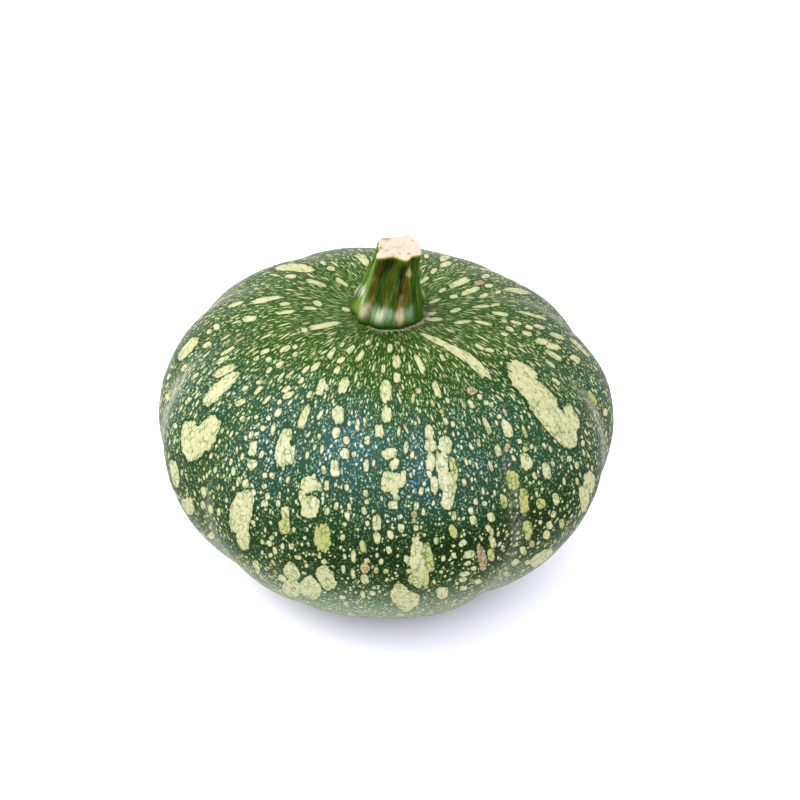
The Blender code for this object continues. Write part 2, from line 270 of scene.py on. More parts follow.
# Pale marks of that view. A row is the two tips of the mark and its width, in pixels: x, y, x, y, width
PALE_MARKS = (
    # Left side, above and below
    (250, 301.5, 283, 297, 5), (227, 307, 243.5, 301.5, 3.5), (242.5, 320, 257, 317.5, 6),
    (213.5, 328.5, 219.5, 325, 6), (206.5, 333, 212, 330.5, 4.5), (196, 336, 179, 360, 8),
    (202.5, 347.5, 211, 342, 5), (220.5, 355, 236, 346, 3.5), (216.5, 363.5, 229, 356, 4.5),
    (213.5, 376, 235, 365.5, 8), (202.5, 403, 238, 372.5, 13), (191.5, 379, 199, 372.5, 3.5),
    (181, 371, 187, 364.5, 4), (167, 380, 170, 373, 3.5), (166, 394, 169, 400, 5),
    (185, 404, 191, 397.5, 4), (174.5, 423, 176, 428.5, 4), (214, 415, 200, 452, 18),
    (187, 420, 192, 461, 17), (204, 424, 192, 458, 20), (171, 461, 177, 487, 7),
    (202.5, 487, 205, 497, 5), (202, 501, 204, 509, 4.5), (210, 505, 211, 514, 5),
    (218.5, 508, 219, 516, 3.5), (183, 499, 191, 515, 8), (233.5, 467, 233, 476, 4.5),
    (245, 480, 245.5, 488, 6.5), (254.5, 441, 251, 457, 8), (255, 460, 249, 469, 8.5),
    (245, 435, 246, 441, 3.5), (252, 431, 250, 438.5, 4), (264.5, 472, 265, 478, 5),
    (264.5, 484, 264.5, 489, 5), (253, 489, 254, 496, 4.5), (267.5, 493, 268, 499, 5),
    (265, 500, 264, 507, 6.5), (242, 494, 238, 534, 21), (239, 516, 245.5, 551, 12),
    (209, 533, 213, 539.5, 5.5), (254, 561, 257, 568, 5.5), (257, 567, 258, 574, 4.5),
    # Behind and beside the stem
    (275, 264, 314, 270.5, 8.5), (357, 252, 368, 265, 8), (327, 267, 335, 270, 4),
    (320.5, 260.5, 326, 265, 4), (336, 278, 348, 286, 4), (285, 276, 297, 276.5, 4),
    (307, 279.5, 326, 286, 4), (275, 313, 296, 311.5, 4), (279, 304, 290, 304, 3.5),
    (303, 307.5, 317, 309, 3.5), (313, 302, 322, 305, 5), (310, 328, 341, 322.5, 5.5),
    (301, 330, 307.5, 330, 5), (341.5, 308.5, 351, 310.5, 4), (424, 256, 429, 256, 5),
    (440, 258, 450, 256.5, 6), (440, 266, 452, 262, 5), (431, 273, 437, 269, 4.5),
    (420, 283, 429, 277, 4), (450.5, 285.5, 470, 279, 6), (461, 294, 479, 288, 5),
    (449.5, 297.5, 458, 295.5, 4), (484.5, 285.5, 493, 286, 4.5), (482, 277, 490, 275, 4),
    (424, 319.5, 443, 319, 4), (505, 288, 530, 293.5, 5), (473, 307, 490, 306, 3.5),
    (439, 292, 446, 288.5, 4), (480, 297, 488, 294, 3.5), (495, 293, 501, 291, 3.5),
    (450, 312, 461, 308.5, 4), (491, 305.5, 500, 304, 3), (491, 312.5, 508, 315, 4),
    (518, 310, 548, 320, 3), (501, 320, 507, 322, 3.5), (455, 323, 471, 321, 3.5),
    (474, 321, 491, 324.5, 3.5), (426, 315, 437, 312.5, 3), (428, 303, 440, 299, 3.5),
    # Right shoulder
    (511, 321, 521.5, 324.5, 3.5), (525, 326, 533, 328.5, 4.5), (506, 327, 514, 331, 5),
    (534, 325, 545, 328, 4), (521.5, 332, 532, 335, 4.5), (550, 333, 565, 339, 4.5),
    (501, 333, 508, 335, 4), (536, 340, 548, 343, 6), (546, 345, 560, 348, 6),
    (545.5, 350, 561.5, 360, 5), (546, 360, 555, 367.5, 3.5), (571, 355, 580, 362, 6.5),
    (508, 362, 537, 379, 15), (512, 369, 556, 412, 23), (533, 394, 572, 441, 25),
    (552, 414, 575, 446, 22), (567, 405, 577, 432, 12), (553, 378, 560, 385, 4),
    (606, 408, 605, 416.5, 5), (506, 350, 506, 355, 5), (419, 332, 456, 350, 6),
    (440, 340, 480, 366, 9.5), (462, 352, 490, 378, 10), (474.5, 344, 484, 349.5, 4),
    (485, 349, 494, 351, 4), (571, 337, 590, 358, 4),
    # Left of the middle
    (260.5, 353.5, 269, 349.5, 4.5), (253.5, 359.5, 259, 357.5, 4), (266, 361, 271, 358, 5),
    (242.5, 390.5, 248, 386, 5), (256.5, 383.5, 262, 380.5, 4), (254.5, 394, 262.5, 386.5, 4.5),
    (236, 404.5, 246, 400, 6), (263.5, 404, 270, 396, 4), (254.5, 419, 258, 415, 4),
    (240.5, 421, 244.5, 416.5, 5), (261, 430.5, 264.5, 425.5, 5), (267, 420, 270, 416, 5),
    (279.5, 351, 290, 346.5, 5.5), (292.5, 348, 297.5, 345.5, 4), (293, 356, 297.5, 352, 4.5),
    (276, 367, 283.5, 361.5, 6), (267, 373, 272, 367.5, 4), (298.5, 383.5, 303.5, 377.5, 4.5),
    (302, 373, 309.5, 365.5, 4), (311.5, 370.5, 319.5, 362.5, 5.5), (282.5, 392.5, 290, 386.5, 6),
    (282.5, 397.5, 293.5, 392.5, 6), (277.5, 404, 281.5, 400, 4), (274.5, 416.5, 281, 408.5, 6),
    (299, 428, 309, 405, 8), (318, 395, 324, 378, 7), (324, 384, 328, 390, 5),
    (307, 398.5, 311.5, 390.5, 4.5), (327.5, 358, 335.5, 347.5, 5), (340, 346.5, 344.5, 343, 4),
    (347, 352.5, 354.5, 345.5, 5.5), (337, 363, 345, 357, 5.5), (334.5, 373, 340, 366.5, 5.5),
    (356.5, 361, 364, 351, 5), (366, 344.5, 370, 340, 4), (340, 394, 347, 378, 10),
    (337, 405, 339.5, 424, 12), (335.5, 426, 336, 438.5, 8.5), (286, 427, 281, 469, 15),
    (293, 444, 290, 465, 6), (346, 436.5, 347, 444.5, 6.5), (345, 447.5, 345, 458.5, 8),
    (335, 460, 333.5, 469, 8.5), (334, 467, 335.5, 477, 9), (271, 472.5, 273, 478.5, 4.5),
    (319, 433.5, 319, 439, 4), (308, 476, 309, 493, 17), (301.5, 490, 303.5, 503, 7),
    (310, 496, 310, 519, 19), (318.5, 482, 320, 491.5, 4.5), (313, 474, 314, 481, 5),
    (285, 506.5, 286, 520, 8), (337, 502.5, 335.5, 509.5, 4), (349, 503.5, 349.5, 510, 4),
    # Middle
    (383.5, 364.5, 383.5, 372.5, 4.5), (378.5, 424, 380, 437.5, 9), (390, 343.5, 390, 352.5, 5.5),
    (396.5, 354.5, 397, 368.5, 8), (396.5, 372.5, 397, 382.5, 7.5), (386, 379, 386, 403, 11),
    (386.5, 405, 386.5, 422, 10), (415, 353, 424.5, 374.5, 6), (434, 380.5, 439, 397.5, 7),
    (418.5, 388, 418.5, 393.5, 5.5), (446, 398, 449, 403.5, 4), (443.5, 417.5, 447.5, 424, 4.5),
    (452, 421, 454, 427, 4.5), (467.5, 399, 474, 408.5, 4.5), (483.5, 417, 490.5, 434, 5),
    (486, 400, 486, 405.5, 5), (491.5, 402, 491.5, 407, 4.5), (478, 394, 481.5, 399.5, 4.5),
    (499, 414.5, 499, 419.5, 5), (440, 354, 444.5, 361, 4), (353.5, 451.5, 354.5, 457, 4.5),
    (367.5, 435.5, 367, 444.5, 5), (366.5, 459.5, 366, 471.5, 5.5), (346, 484, 347, 490.5, 4.5),
    (365, 489.5, 366, 496.5, 5), (366, 499.5, 367, 504.5, 5), (363, 506.5, 365, 514.5, 4.5),
    (347, 511.5, 347.5, 520.5, 5.5), (382, 455, 397, 452, 11), (398, 458, 391, 469, 8.5),
    (386, 471, 386, 491, 9), (384, 482, 404, 480, 18), (403, 470, 402, 485, 7), (391, 485, 397, 494, 9),
    (394, 493.5, 398, 500, 5.5), (388, 504.5, 398, 505.5, 8), (399.5, 514.5, 401, 519, 5),
    (401, 523.5, 401, 532, 7), (390.5, 531, 390.5, 539, 6.5), (428, 424, 429.5, 438.5, 9),
    (429, 439, 432, 452, 12), (431, 452, 430, 472, 10), (428.5, 470, 430, 477.5, 5),
    (434, 476, 434.5, 494, 8), (444, 436, 446, 455, 14), (442, 450, 442, 478, 13),
    (445, 472, 451, 496, 17), (448, 486, 447, 510, 13), (416.5, 501.5, 416.5, 510, 5),
    (416, 525.5, 416, 531.5, 5.5), (377, 515, 377, 531, 9), (376, 532.5, 378, 543.5, 7),
    (475, 498.5, 476, 504.5, 4.5), (484, 501, 485, 506, 5), (470, 507.5, 472, 514.5, 5),
    (472, 516, 474.5, 524.5, 7), (490, 512.5, 492, 522, 7.5), (487.5, 525, 489, 532, 5.5),
    (496, 444, 499.5, 456, 6), (504, 420, 511, 438, 9),
    # Right side
    (519, 439, 520, 443.5, 4), (531, 443.5, 532, 449, 4), (523, 454, 530, 470, 12),
    (545, 462, 548, 479.5, 8), (555, 492.5, 557, 505, 6), (577, 461.5, 577, 469.5, 5),
    (569, 455.5, 570, 461.5, 5), (583, 439.5, 583, 446.5, 4), (591, 472, 589, 494, 13),
    (588, 488, 583, 513, 11), (555, 511.5, 552, 517.5, 5), (550, 521.5, 549, 529, 6),
    (548, 531, 545, 539.5, 7), (522, 546.5, 524, 554.5, 6), (512, 565.5, 518.5, 559.5, 6),
    (525, 564.5, 529.5, 560.5, 4), (532, 567, 553, 550, 7), (505, 576, 509, 572.5, 5.5),
    # Low front
    (362.5, 574.5, 367, 583.5, 8), (366, 558.5, 368, 563.5, 5), (352, 569.5, 354, 578.5, 4.5),
    (285, 566, 298, 580, 13), (279, 575, 286, 581, 6), (285, 583, 297, 597, 13),
    (302, 582, 318, 598, 16), (319, 568, 333, 590, 15), (369, 593, 376, 594, 4.5),
    (362, 591.5, 364, 598.5, 4.5), (339, 597, 346, 598, 4), (344, 602.5, 348, 607.5, 4),
    (294.5, 557, 301.5, 558, 4), (323, 559.5, 325, 564, 5), (290, 543.5, 292, 549.5, 5),
    (282, 543, 283, 549.5, 4), (270, 536, 273, 540, 5), (268, 541, 271, 546.5, 5),
    (274, 547.5, 276, 554.5, 4), (269.5, 553.5, 271.5, 557, 4.5), (342, 534.5, 343, 540.5, 4.5),
    (353, 550.5, 354, 562, 5), (343, 565.5, 344, 572.5, 4), (388, 546.5, 390, 553.5, 6),
    (414, 538.5, 418, 536.5, 4), (417, 541, 419, 589, 15), (404, 557, 413.5, 565, 7.5),
    (391, 596, 420, 602, 15), (397, 590, 410, 611, 17), (437, 595, 448, 591, 11),
    (453, 552.5, 455, 558.5, 5), (459, 546, 466, 540.5, 6), (463.5, 556, 475, 553, 8),
    (464, 564.5, 471, 562, 4), (470, 569, 476.5, 568, 4.5), (459, 575, 470, 573, 4.5),
    (459, 580.5, 467, 579, 4.5), (460.5, 589, 467.5, 588, 4), (474, 582.5, 482, 581, 5),
    (491, 536.5, 494, 547, 6), (491, 529.5, 492, 535, 4.5),
)
GREEN_MARKS = (
    (283.5, 517, 285, 534, 12), (322, 525.5, 322, 551, 17), (361.5, 541, 364, 552, 6.5),
    (452, 458, 456, 482, 7), (451, 525, 455, 537, 7.5), (502, 494.5, 505.5, 508, 6.5),
    (511, 470, 514, 489, 11), (505, 477, 519, 478, 10), (524, 488, 524, 515, 9.5),
    (541, 498, 541, 509, 9), (528, 521, 526, 533, 9), (530, 528, 527, 540, 7), (427, 546, 431, 572, 9),
    (426, 568, 425, 588, 8), (409, 569, 409, 573.5, 5), (412, 574, 411, 584, 6),
    (490, 549.5, 492, 561.5, 6.5), (562, 519.5, 562, 528.5, 5.5), (589, 391, 597, 405, 4.5),
    (524, 447, 527, 451, 5.5), (441.5, 409.5, 441.5, 413.5, 4.5),
)
CORK_MARKS = (
    (363, 563, 367, 573, 8), (481, 548, 484, 571, 9), (531, 541, 532, 547, 5.5),
    (466, 389, 477, 392, 8), (474, 283, 484, 282, 5), (411, 515, 417, 514, 5.5),
    (509, 443.5, 505, 452, 6), (412.5, 518.5, 413.5, 523, 4.5),
)

# Marks scattered by a seeded draw: how many are tried, half widths in mm, length to width
MARK_SEED = 7
SMALL_TRIES = 5600
SMALL_HALF_WIDTHS = (0.4, 0.9)
MIDDLE_TRIES = 420
MIDDLE_HALF_WIDTHS = (0.9, 2.0)
LARGE_TRIES = 34
LARGE_HALF_WIDTHS = (2.4, 4.6)
MARK_LENGTHS = (1.1, 2.2)
MARK_LATITUDES = (-66.0, 74.0)
MARK_TILT = 0.16
MARKS_STRETCH = (20.0, 70.0)
NARROWER_NEAR_STEM = 0.35
LONGER_NEAR_STEM = 1.1
GREEN_MARK_CHANCE = 0.12
LOBE_SIZES = (0.55, 0.85)
LOBE_ASIDE = 0.7
LOBE_UPWARD = (0.4, 0.8)
MARK_CLEARANCE = 0.55
MARK_REACH = 3.0
FACING_LIMIT = 0.22
NO_MARK = 9.0

# How many marks a point reads, and over how many mm their kinds blend
MARKS_READ = 3
KIND_BLEND = 0.7

# Stage, in metres
FLOOR_DROP = -0.0002
KEY_PLACE = (-0.75, 0.15, 0.95)
KEY_SIDE = 1.1
FILL_PLACE = (0.05, -0.7, 0.85)
FILL_SIDE = 0.9
WINDOW_PLACE = (-0.2, -0.45, 1.1)
WINDOW_SIDE = 0.5
AIM = (0.0, 0.0, 0.06)
SKY_COLOUR = "#f4f1ff"
KEY_COLOUR = "#fffdf8"
FILL_COLOUR = "#eef2ff"
WINDOW_COLOUR = "#b4e0f0"

# Sockets of the Mix node when it mixes colours
MIX_SHARE = 0
MIX_FROM = 6
MIX_TO = 7
MIX_RESULT = 2

# Speckles, in mm: spacing, share present, smallest and largest radius, and softness of the edge
DUST = (0.85, 1.0, 0.17, 0.34, 0.14)
SPOTS = (1.7, 0.8, 0.28, 0.62, 0.15)

# Clouds of noise: scale per mm, detail, window and roughness
SHEEN_AND_BLOOM_PATCHES = (0.05, 3.0, (0.35, 0.65, 0.35, 1.25))
THIN_DUST = (0.12, 2.0, (0.35, 0.6, 0.55, 1.0))
BROKEN_SCUFFS_AND_SHEEN = (0.55, 4.0, (0.38, 0.58), 0.7)
CREAM_CLOUDS = (0.16, 3.0, (0.42, 0.62, 0.0, 0.7))
FAINT_VEINS = (0.4, 2.0, (0.42, 0.6, 0.05, 0.8))
CORKY_GRIT = (1.3, 3.0, (0.42, 0.62), 0.7)
STEM_FLECKS = (0.8, 3.0, (0.56, 0.68, 0.0, 0.5), 0.65)
CUT_GRAIN = (0.9, 4.0, (0.46, 0.66), 0.65)

# Edges of the pale marks: noise as scale per mm and detail, and how a mark's half width in mm turns into
# how far its edge bends and frays and how much grit it shows
WANDER_SCALE = 0.8
WANDER_MM = 0.9
BEND_NOISE = (0.4, 1.0)
FRAY_NOISE = (1.6, 2.0)
FRAY_MM = 0.35
SIZE_TO_BEND = (0.4, 3.0, 0.3, 2.4)
SIZE_TO_FRAY = (0.4, 3.0, 0.2, 0.8)
SIZE_TO_GRIT = (0.5, 2.4, 0.15, 0.5)
SCALLOPS_PER_MM = 0.85
SCALLOP_REACH = (0.5, 0.15)
BARE_FROM = -0.2
BARE_TO = (-0.3, -0.4)
HALO_STRENGTH = 0.6
OUTER_EDGE = (0.9, 0.0)
OUTER_STRENGTH = 0.45
VEINS_PER_MM = 0.5
VEIN_EDGE = (0.03, 0.16, 1.0, 0.0)
GREEN_VEINS = 0.2
GREEN_STRENGTH = 0.8

# Rind: the pale veil of dust and painted floor light, how far the painted shade of the dark band dims the
# dust, crumbs of cork, and finish from clean skin to marks and cork
DUST_AND_FLOOR_BOUNCE_VEIL = 0.65
DUST_DIMMED = 0.6
CRUMBS_PER_METRE = 420.0
COLLAR_CRUMBS_MM = 5.0
BLOSSOM_CRUMBS_MM = 2.5
RIND_ROUGHNESS = (0.0, 1.0, 0.42, 0.6)
RIND_IOR = 1.4
WAXY_GLOSS = 0.03

# Stem, by its share of the height or of the noise: low, high, and what they give
STREAK_STRETCH = (1.0, 1.0, 0.1)
WAXLESS = (0.16, 0.32, 0.15, 0.6)
DARK_STREAKS = (0.5, 0.36)
BRIGHT_STREAKS = (0.52, 0.7, 0.0, 0.35)
BRIGHT_BELOW_CUT = (0.7, 0.85, 1.0, 0.15)
RIM_UNDER_CUT = (0.955, 0.985, 0.0, 0.8)
GREEN_FOOT = (0.09, 0.04)
GRAIN_OUTWARD = (0.4, 1.0, 0.2, 0.7)

# Where the marks and the two corky places begin and are full, in mm, and how marks grow together
MARK_EDGE = (-0.24, 0.2)
MARK_JOIN = 0.2
BLOSSOM_EDGE = (6.0, 5.4)
COLLAR_EDGE = (1.0, 0.5)

# What a mesh stores in one, three or four columns
ATTRIBUTE_KINDS = {1: ("FLOAT", "value"), 3: ("FLOAT_VECTOR", "vector"), 4: ("FLOAT_COLOR", "color")}

Mark = namedtuple(
    "Mark",
    "azimuth arc ring long_east long_north short_east short_north half_width green cork",
)


def colour(hex_code):
    """A hex sRGB colour as linear red, green, blue and full alpha."""
    channels = [int(hex_code[start:start + 2], 16) / 255.0 for start in (1, 3, 5)]
    return [c / 12.92 if c <= 0.04045 else ((c + 0.055) / 1.055) ** 2.4 for c in channels] + [1.0]


def length_setting(name, description, default):
    """A length that a user may change."""
    return FloatProperty(name=name, description=description, default=default, unit="LENGTH")


def colour_setting(name, description, hex_code):
    """A colour that a user may change."""
    return FloatVectorProperty(
        name=name, description=description, subtype="COLOR", size=4, default=colour(hex_code),
    )


def power_setting(name, description, default):
    """A light's power that a user may change."""
    return FloatProperty(name=name, description=description, default=default, unit="POWER")


class SquashFruitSettings(bpy.types.PropertyGroup):
    """Sizes and colours of the fruit."""

    width: length_setting("Width", "Across the widest ring, outside the grooves", 0.18)
    crown_height: length_setting(
        "Crown height", "From the widest ring to the top, without the dimple", 0.0585,
    )
    under_depth: length_setting(
        "Under depth", "From the widest ring down, before the base is flattened", 0.0774,
    )
    dimple_depth: length_setting("Dimple depth", "How far the skin sinks round the stem", 0.0088)
    segments: IntProperty(name="Segments", description="Faces round the fruit", default=360)
    rings: IntProperty(name="Rings", description="Faces from base to stem", default=260)
    deep_green: colour_setting("Deep green", "Rind between the speckles", "#1c3815")
    blue_green: colour_setting("Blue green", "Rind under its bluish bloom", "#223f3a")
    speckle: colour_setting("Speckle", "The finest speckles", "#7b9686")
    pale: colour_setting("Pale", "The large pale marks", "#a9a57c")


class SquashStemSettings(bpy.types.PropertyGroup):
    """Sizes and colours of the stem."""

    height: length_setting("Height", "From the fruit to the cut top", STEM_HIGH.z - STEM_LOW.z)
    top_radius: length_setting("Top radius", "Of the cut top, inside the ridges", 0.0073)
    foot_radius: length_setting("Foot radius", "Where it flares out, inside the ridges", 0.0134)
    lean: length_setting("Lean", "How far the cut top stands to +X of the foot", 0.0043)
    segments: IntProperty(name="Segments", description="Faces round the stem", default=240)
    rings: IntProperty(name="Rings", description="Faces from foot to top", default=90)
    green: colour_setting("Green", "The stem under its stripes", "#2f4a0a")
    cut_face: colour_setting("Cut face", "The dried cut top", "#aea48e")


class SquashStageSettings(bpy.types.PropertyGroup):
    """Floor and light."""

    floor_size: length_setting("Floor size", "Side of the floor", 8.0)
    floor_colour: colour_setting("Floor", "Colour of the floor", "#f0f0f5")
    sky_strength: FloatProperty(name="Sky strength", description="Even light from all round", default=2.0)
    key_power: power_setting("Key power", "Large soft light on the left", 14.0)
    fill_power: power_setting("Fill power", "Soft light from in front", 4.0)
    window_power: power_setting("Window power", "Bluish light that only shows in reflections", 50.0)


def smooth_step(low, high, value):
    """0 at low, 1 at high, and a smooth rise between them."""
    share = np.clip((value - low) / (high - low), 0.0, 1.0)
    return share * share * (3.0 - 2.0 * share)


def turn_between(azimuth, other):
    """The angle from one azimuth to another, within half a turn, in degrees."""
    return (azimuth - other + 180.0) % 360.0 - 180.0


def bell(away, half_width, power=2):
    """1 in the middle, falling to 1/e at the half width; a higher power has steeper sides."""
    return np.exp(-np.abs(away / half_width) ** power)


def flat_distance(points, x=0.0, y=0.0):
    """How far each point lies from an upright line at x and y."""
    return np.hypot(points[:, 0] - x, points[:, 1] - y)


def profile(fruit, latitude):
    """Radius and height above the widest ring of the turned profile."""
    along = np.abs(np.cos(np.radians(latitude)))
    rise = np.abs(np.sin(np.radians(latitude)))
    crown_radius = fruit.width / 2.0 * along ** (2.0 / CROWN_POWER)
    crown = fruit.crown_height * rise ** (2.0 / CROWN_POWER)
    crown = crown - fruit.dimple_depth * bell(crown_radius, DIMPLE_RADIUS)
    under_radius = fruit.width / 2.0 * along ** (2.0 / UNDER_POWER)
    depth = np.maximum(fruit.under_depth * rise ** (2.0 / UNDER_POWER), 1.0e-6)
    under = -(depth ** -FLATTENING + FLATTENED_DEPTH ** -FLATTENING) ** (-1.0 / FLATTENING)
    above = np.asarray(latitude) >= 0.0
    return np.where(above, crown_radius, under_radius), np.where(above, crown, under)


def groove_depth(azimuth, latitude):
    """How far the grooves between the ribs draw the skin in towards the axis."""
    strength = 1.0 - smooth_step(*GROOVES_FADE_TOP, latitude)
    strength *= 1.0 - smooth_step(*GROOVES_FADE_UNDER, latitude)
    depth = 0.0
    for groove_azimuth, full_depth in GROOVES:
        away = turn_between(azimuth, groove_azimuth)
        depth = depth + full_depth * bell(away, GROOVE_HALF_WIDTH, GROOVE_SHARPNESS)
    return depth * strength


def skin_points(fruit, azimuth, latitude):
    """Points of the skin, with the flat seat of the stem and the flat resting spot."""
    radius = profile(fruit, latitude)[0] - groove_depth(azimuth, latitude)
    height = profile(fruit, np.clip(latitude, REST_LATITUDE, SEAT_LATITUDE))[1]
    x = radius * np.cos(np.radians(azimuth))
    y = radius * np.sin(np.radians(azimuth))
    shoulder = smooth_step(*SHOULDER_RISES, latitude) * (1.0 - smooth_step(*SHOULDER_ENDS, latitude))
    height = height - SHOULDER_LEAN * x * shoulder - profile(fruit, REST_LATITUDE)[1]
    shift = smooth_step(STEM_SHIFT_FROM, SEAT_LATITUDE, latitude)
    return np.stack([x + STEM_X * shift, y + STEM_Y * shift, height], axis=-1)


def meridian_table(fruit):
    """Latitudes with their arc from the widest ring and their growth, both in mm."""
    latitudes = np.linspace(-90.0, 90.0, TABLE_STEPS)
    radius, height = profile(fruit, latitudes)
    steps = np.hypot(np.diff(radius), np.diff(height)) * MM
    arcs = np.concatenate([[0.0], np.cumsum(steps)])
    arcs -= np.interp(0.0, latitudes, arcs)
    slopes = GROWTH_SLOPE - GROWTH_SLOPE_LOSS * smooth_step(*GROWTH_SLOWS, arcs)
    growth = np.concatenate([[0.0], np.cumsum(steps * slopes[1:])])
    return latitudes, arcs, growth


def view_ray(x, y):
    """Start and direction of the line of sight through a pixel of the view."""
    tilt = math.radians(VIEW_ELEVATION)
    forward = Vector((0.0, math.cos(tilt), -math.sin(tilt)))
    upward = Vector((0.0, math.sin(tilt), math.cos(tilt)))
    focal_pixels = FOCAL_LENGTH_MM / SENSOR_MM * PICTURE_PIXELS
    direction = forward * focal_pixels + upward * (RING_PIXEL[1] - y)
    direction += Vector((x - RING_PIXEL[0], 0.0, 0.0))
    return view_point(), direction.normalized()


def view_point():
    """Where the picture is taken from."""
    tilt = math.radians(VIEW_ELEVATION)
    ring_height = -float(profile(bpy.context.scene.squash_fruit, REST_LATITUDE)[1])
    away = Vector((0.0, -math.cos(tilt), math.sin(tilt))) * VIEW_DISTANCE
    return Vector((0.0, 0.0, ring_height)) + away


def skin_reader(mesh, directions):
    """A function from a pixel of the view to the azimuth and latitude seen there, or None."""
    mesh.calc_loop_triangles()
    triangles = [tuple(triangle.vertices) for triangle in mesh.loop_triangles]
    positions = [vert.co.copy() for vert in mesh.vertices]
    tree = BVHTree.FromPolygons(positions, triangles)

    def read(x, y):
        hit, _, index, _ = tree.ray_cast(*view_ray(x, y))
        if hit is None:
            return None
        here = [positions[corner] for corner in triangles[index]]
        globe = [Vector(directions[corner]) for corner in triangles[index]]
        point = geometry.barycentric_transform(hit, *here, *globe).normalized()
        ring = math.degrees(math.asin(point.z))
        latitude = float(np.interp(ring, RING_STOPS, LATITUDE_STOPS))
        return math.degrees(math.atan2(point.y, point.x)), latitude

    return read


def seen_mark(fruit, table, read, row, green, cork):
    """A mark of the view, laid on the skin: its tips and its side become two half axes."""
    latitudes, arcs, _ = table
    x1, y1, x2, y2, width = row
    middle_x = (x1 + x2) / 2.0
    middle_y = (y1 + y2) / 2.0
    length = math.hypot(x2 - x1, y2 - y1)
    side_x = -(y2 - y1) / length * width / 2.0
    side_y = (x2 - x1) / length * width / 2.0
    middle = read(middle_x, middle_y)
    if middle is None:
        raise RuntimeError(f"the mark {row} isn't on the fruit")
    ring = float(profile(fruit, middle[1])[0]) * MM
    arc = float(np.interp(middle[1], latitudes, arcs))

    def half_axis(step_x, step_y):
        for sign in (1.0, -1.0):
            place = read(middle_x + sign * step_x, middle_y + sign * step_y)
            if place is not None:
                east = math.radians(turn_between(place[0], middle[0])) * ring
                return sign * east, sign * (float(np.interp(place[1], latitudes, arcs)) - arc)
        raise RuntimeError(f"the mark {row} reaches over the fruit's edge")

    long_axis = half_axis((x2 - x1) / 2.0, (y2 - y1) / 2.0)
    short_axis = half_axis(side_x, side_y)
    half_width = min(math.hypot(*long_axis), math.hypot(*short_axis))
    return Mark(middle[0], arc, ring, *long_axis, *short_axis, half_width, green, cork)


def facing(fruit, azimuth, latitude):
    """How squarely the skin faces the view point: 1 head on, below 0 turned away."""
    here = skin_points(fruit, azimuth, latitude)
    east = skin_points(fruit, azimuth + 0.5, latitude) - here
    north = skin_points(fruit, azimuth, latitude + 0.5) - here
    normal = np.cross(east, north)
    sight = np.array(view_point()) - here
    lengths = np.linalg.norm(normal, axis=-1) * np.linalg.norm(sight, axis=-1)
    return np.sum(normal * sight, axis=-1) / lengths


def scattered_marks(fruit, table, known):
    """Seeded marks: large and middling ones where the view doesn't reach, small ones all over."""
    latitudes, arcs, _ = table
    draw = np.random.default_rng(MARK_SEED)
    sizes = (
        (LARGE_TRIES, LARGE_HALF_WIDTHS, True),
        (MIDDLE_TRIES, MIDDLE_HALF_WIDTHS, True),
        (SMALL_TRIES, SMALL_HALF_WIDTHS, False),
    )
    rows = np.zeros((len(known) + 3 * LARGE_TRIES + MIDDLE_TRIES + SMALL_TRIES, len(Mark._fields)))
    rows[:len(known)] = known
    count = len(known)
    for tries, half_widths, only_hidden in sizes:
        azimuths = draw.uniform(0.0, 360.0, tries)
        mark_arcs = draw.uniform(*np.interp(MARK_LATITUDES, latitudes, arcs), tries)
        mark_latitudes = np.interp(mark_arcs, arcs, latitudes)
        rings = profile(fruit, mark_latitudes)[0] * MM
        kept = draw.uniform(0.0, fruit.width / 2.0 * MM, tries) < rings
        if only_hidden:
            kept &= facing(fruit, azimuths, mark_latitudes) < FACING_LIMIT
        for index in np.flatnonzero(kept):
            half_width = draw.uniform(*half_widths)
            length = half_width * draw.uniform(*MARK_LENGTHS)
            near_stem = float(smooth_step(*MARKS_STRETCH, mark_latitudes[index]))
            half_width *= 1.0 - NARROWER_NEAR_STEM * near_stem
            length *= 1.0 + LONGER_NEAR_STEM * near_stem
            tilt = draw.normal(0.0, MARK_TILT)
            mark = Mark(
                azimuths[index], mark_arcs[index], rings[index],
                length * math.sin(tilt), length * math.cos(tilt),
                half_width * math.cos(tilt), -half_width * math.sin(tilt),
                half_width, float(draw.uniform() < GREEN_MARK_CHANCE), 0.0,
            )
            if crowded(mark, Mark(*rows[:count].T)):
                continue
            family = [mark]
            if half_widths == LARGE_HALF_WIDTHS:
                family.extend(lobes_of(mark, draw))
            rows[count:count + len(family)] = family
            count += len(family)
    return rows[:count]


def crowded(mark, others):
    """Whether a mark would touch one that is there already."""
    gap = (np.hypot(*place_in_mark(others, mark.azimuth, mark.arc)) - 1.0) * others.half_width
    own_reach = (math.hypot(mark.long_east, mark.long_north) + mark.half_width) / 2.0
    return bool(np.any(gap < own_reach + MARK_CLEARANCE))


def lobes_of(mark, draw):
    """Two smaller marks that grow together with a large one, above and below its middle."""
    lobes = []
    for sign in (1.0, -1.0):
        size = draw.uniform(*LOBE_SIZES)
        east = draw.uniform(-LOBE_ASIDE, LOBE_ASIDE) * mark.half_width
        north = sign * draw.uniform(*LOBE_UPWARD) * mark.long_north
        lobes.append(mark._replace(
            azimuth=mark.azimuth + math.degrees(east / mark.ring),
            arc=mark.arc + north,
            long_east=mark.long_east * size,
            long_north=mark.long_north * size,
            short_east=mark.short_east * size,
            short_north=mark.short_north * size,
            half_width=mark.half_width * size,
        ))
    return lobes


def place_in_mark(mark, azimuth, arc):
    """Where a point lies in a mark's own half axes: its edge is at a distance of 1."""
    east = np.radians(turn_between(azimuth, mark.azimuth)) * mark.ring
    north = arc - mark.arc
    area = mark.long_east * mark.short_north - mark.long_north * mark.short_east
    along = (east * mark.short_north - north * mark.short_east) / area
    across = (north * mark.long_east - east * mark.long_north) / area
    return along, across


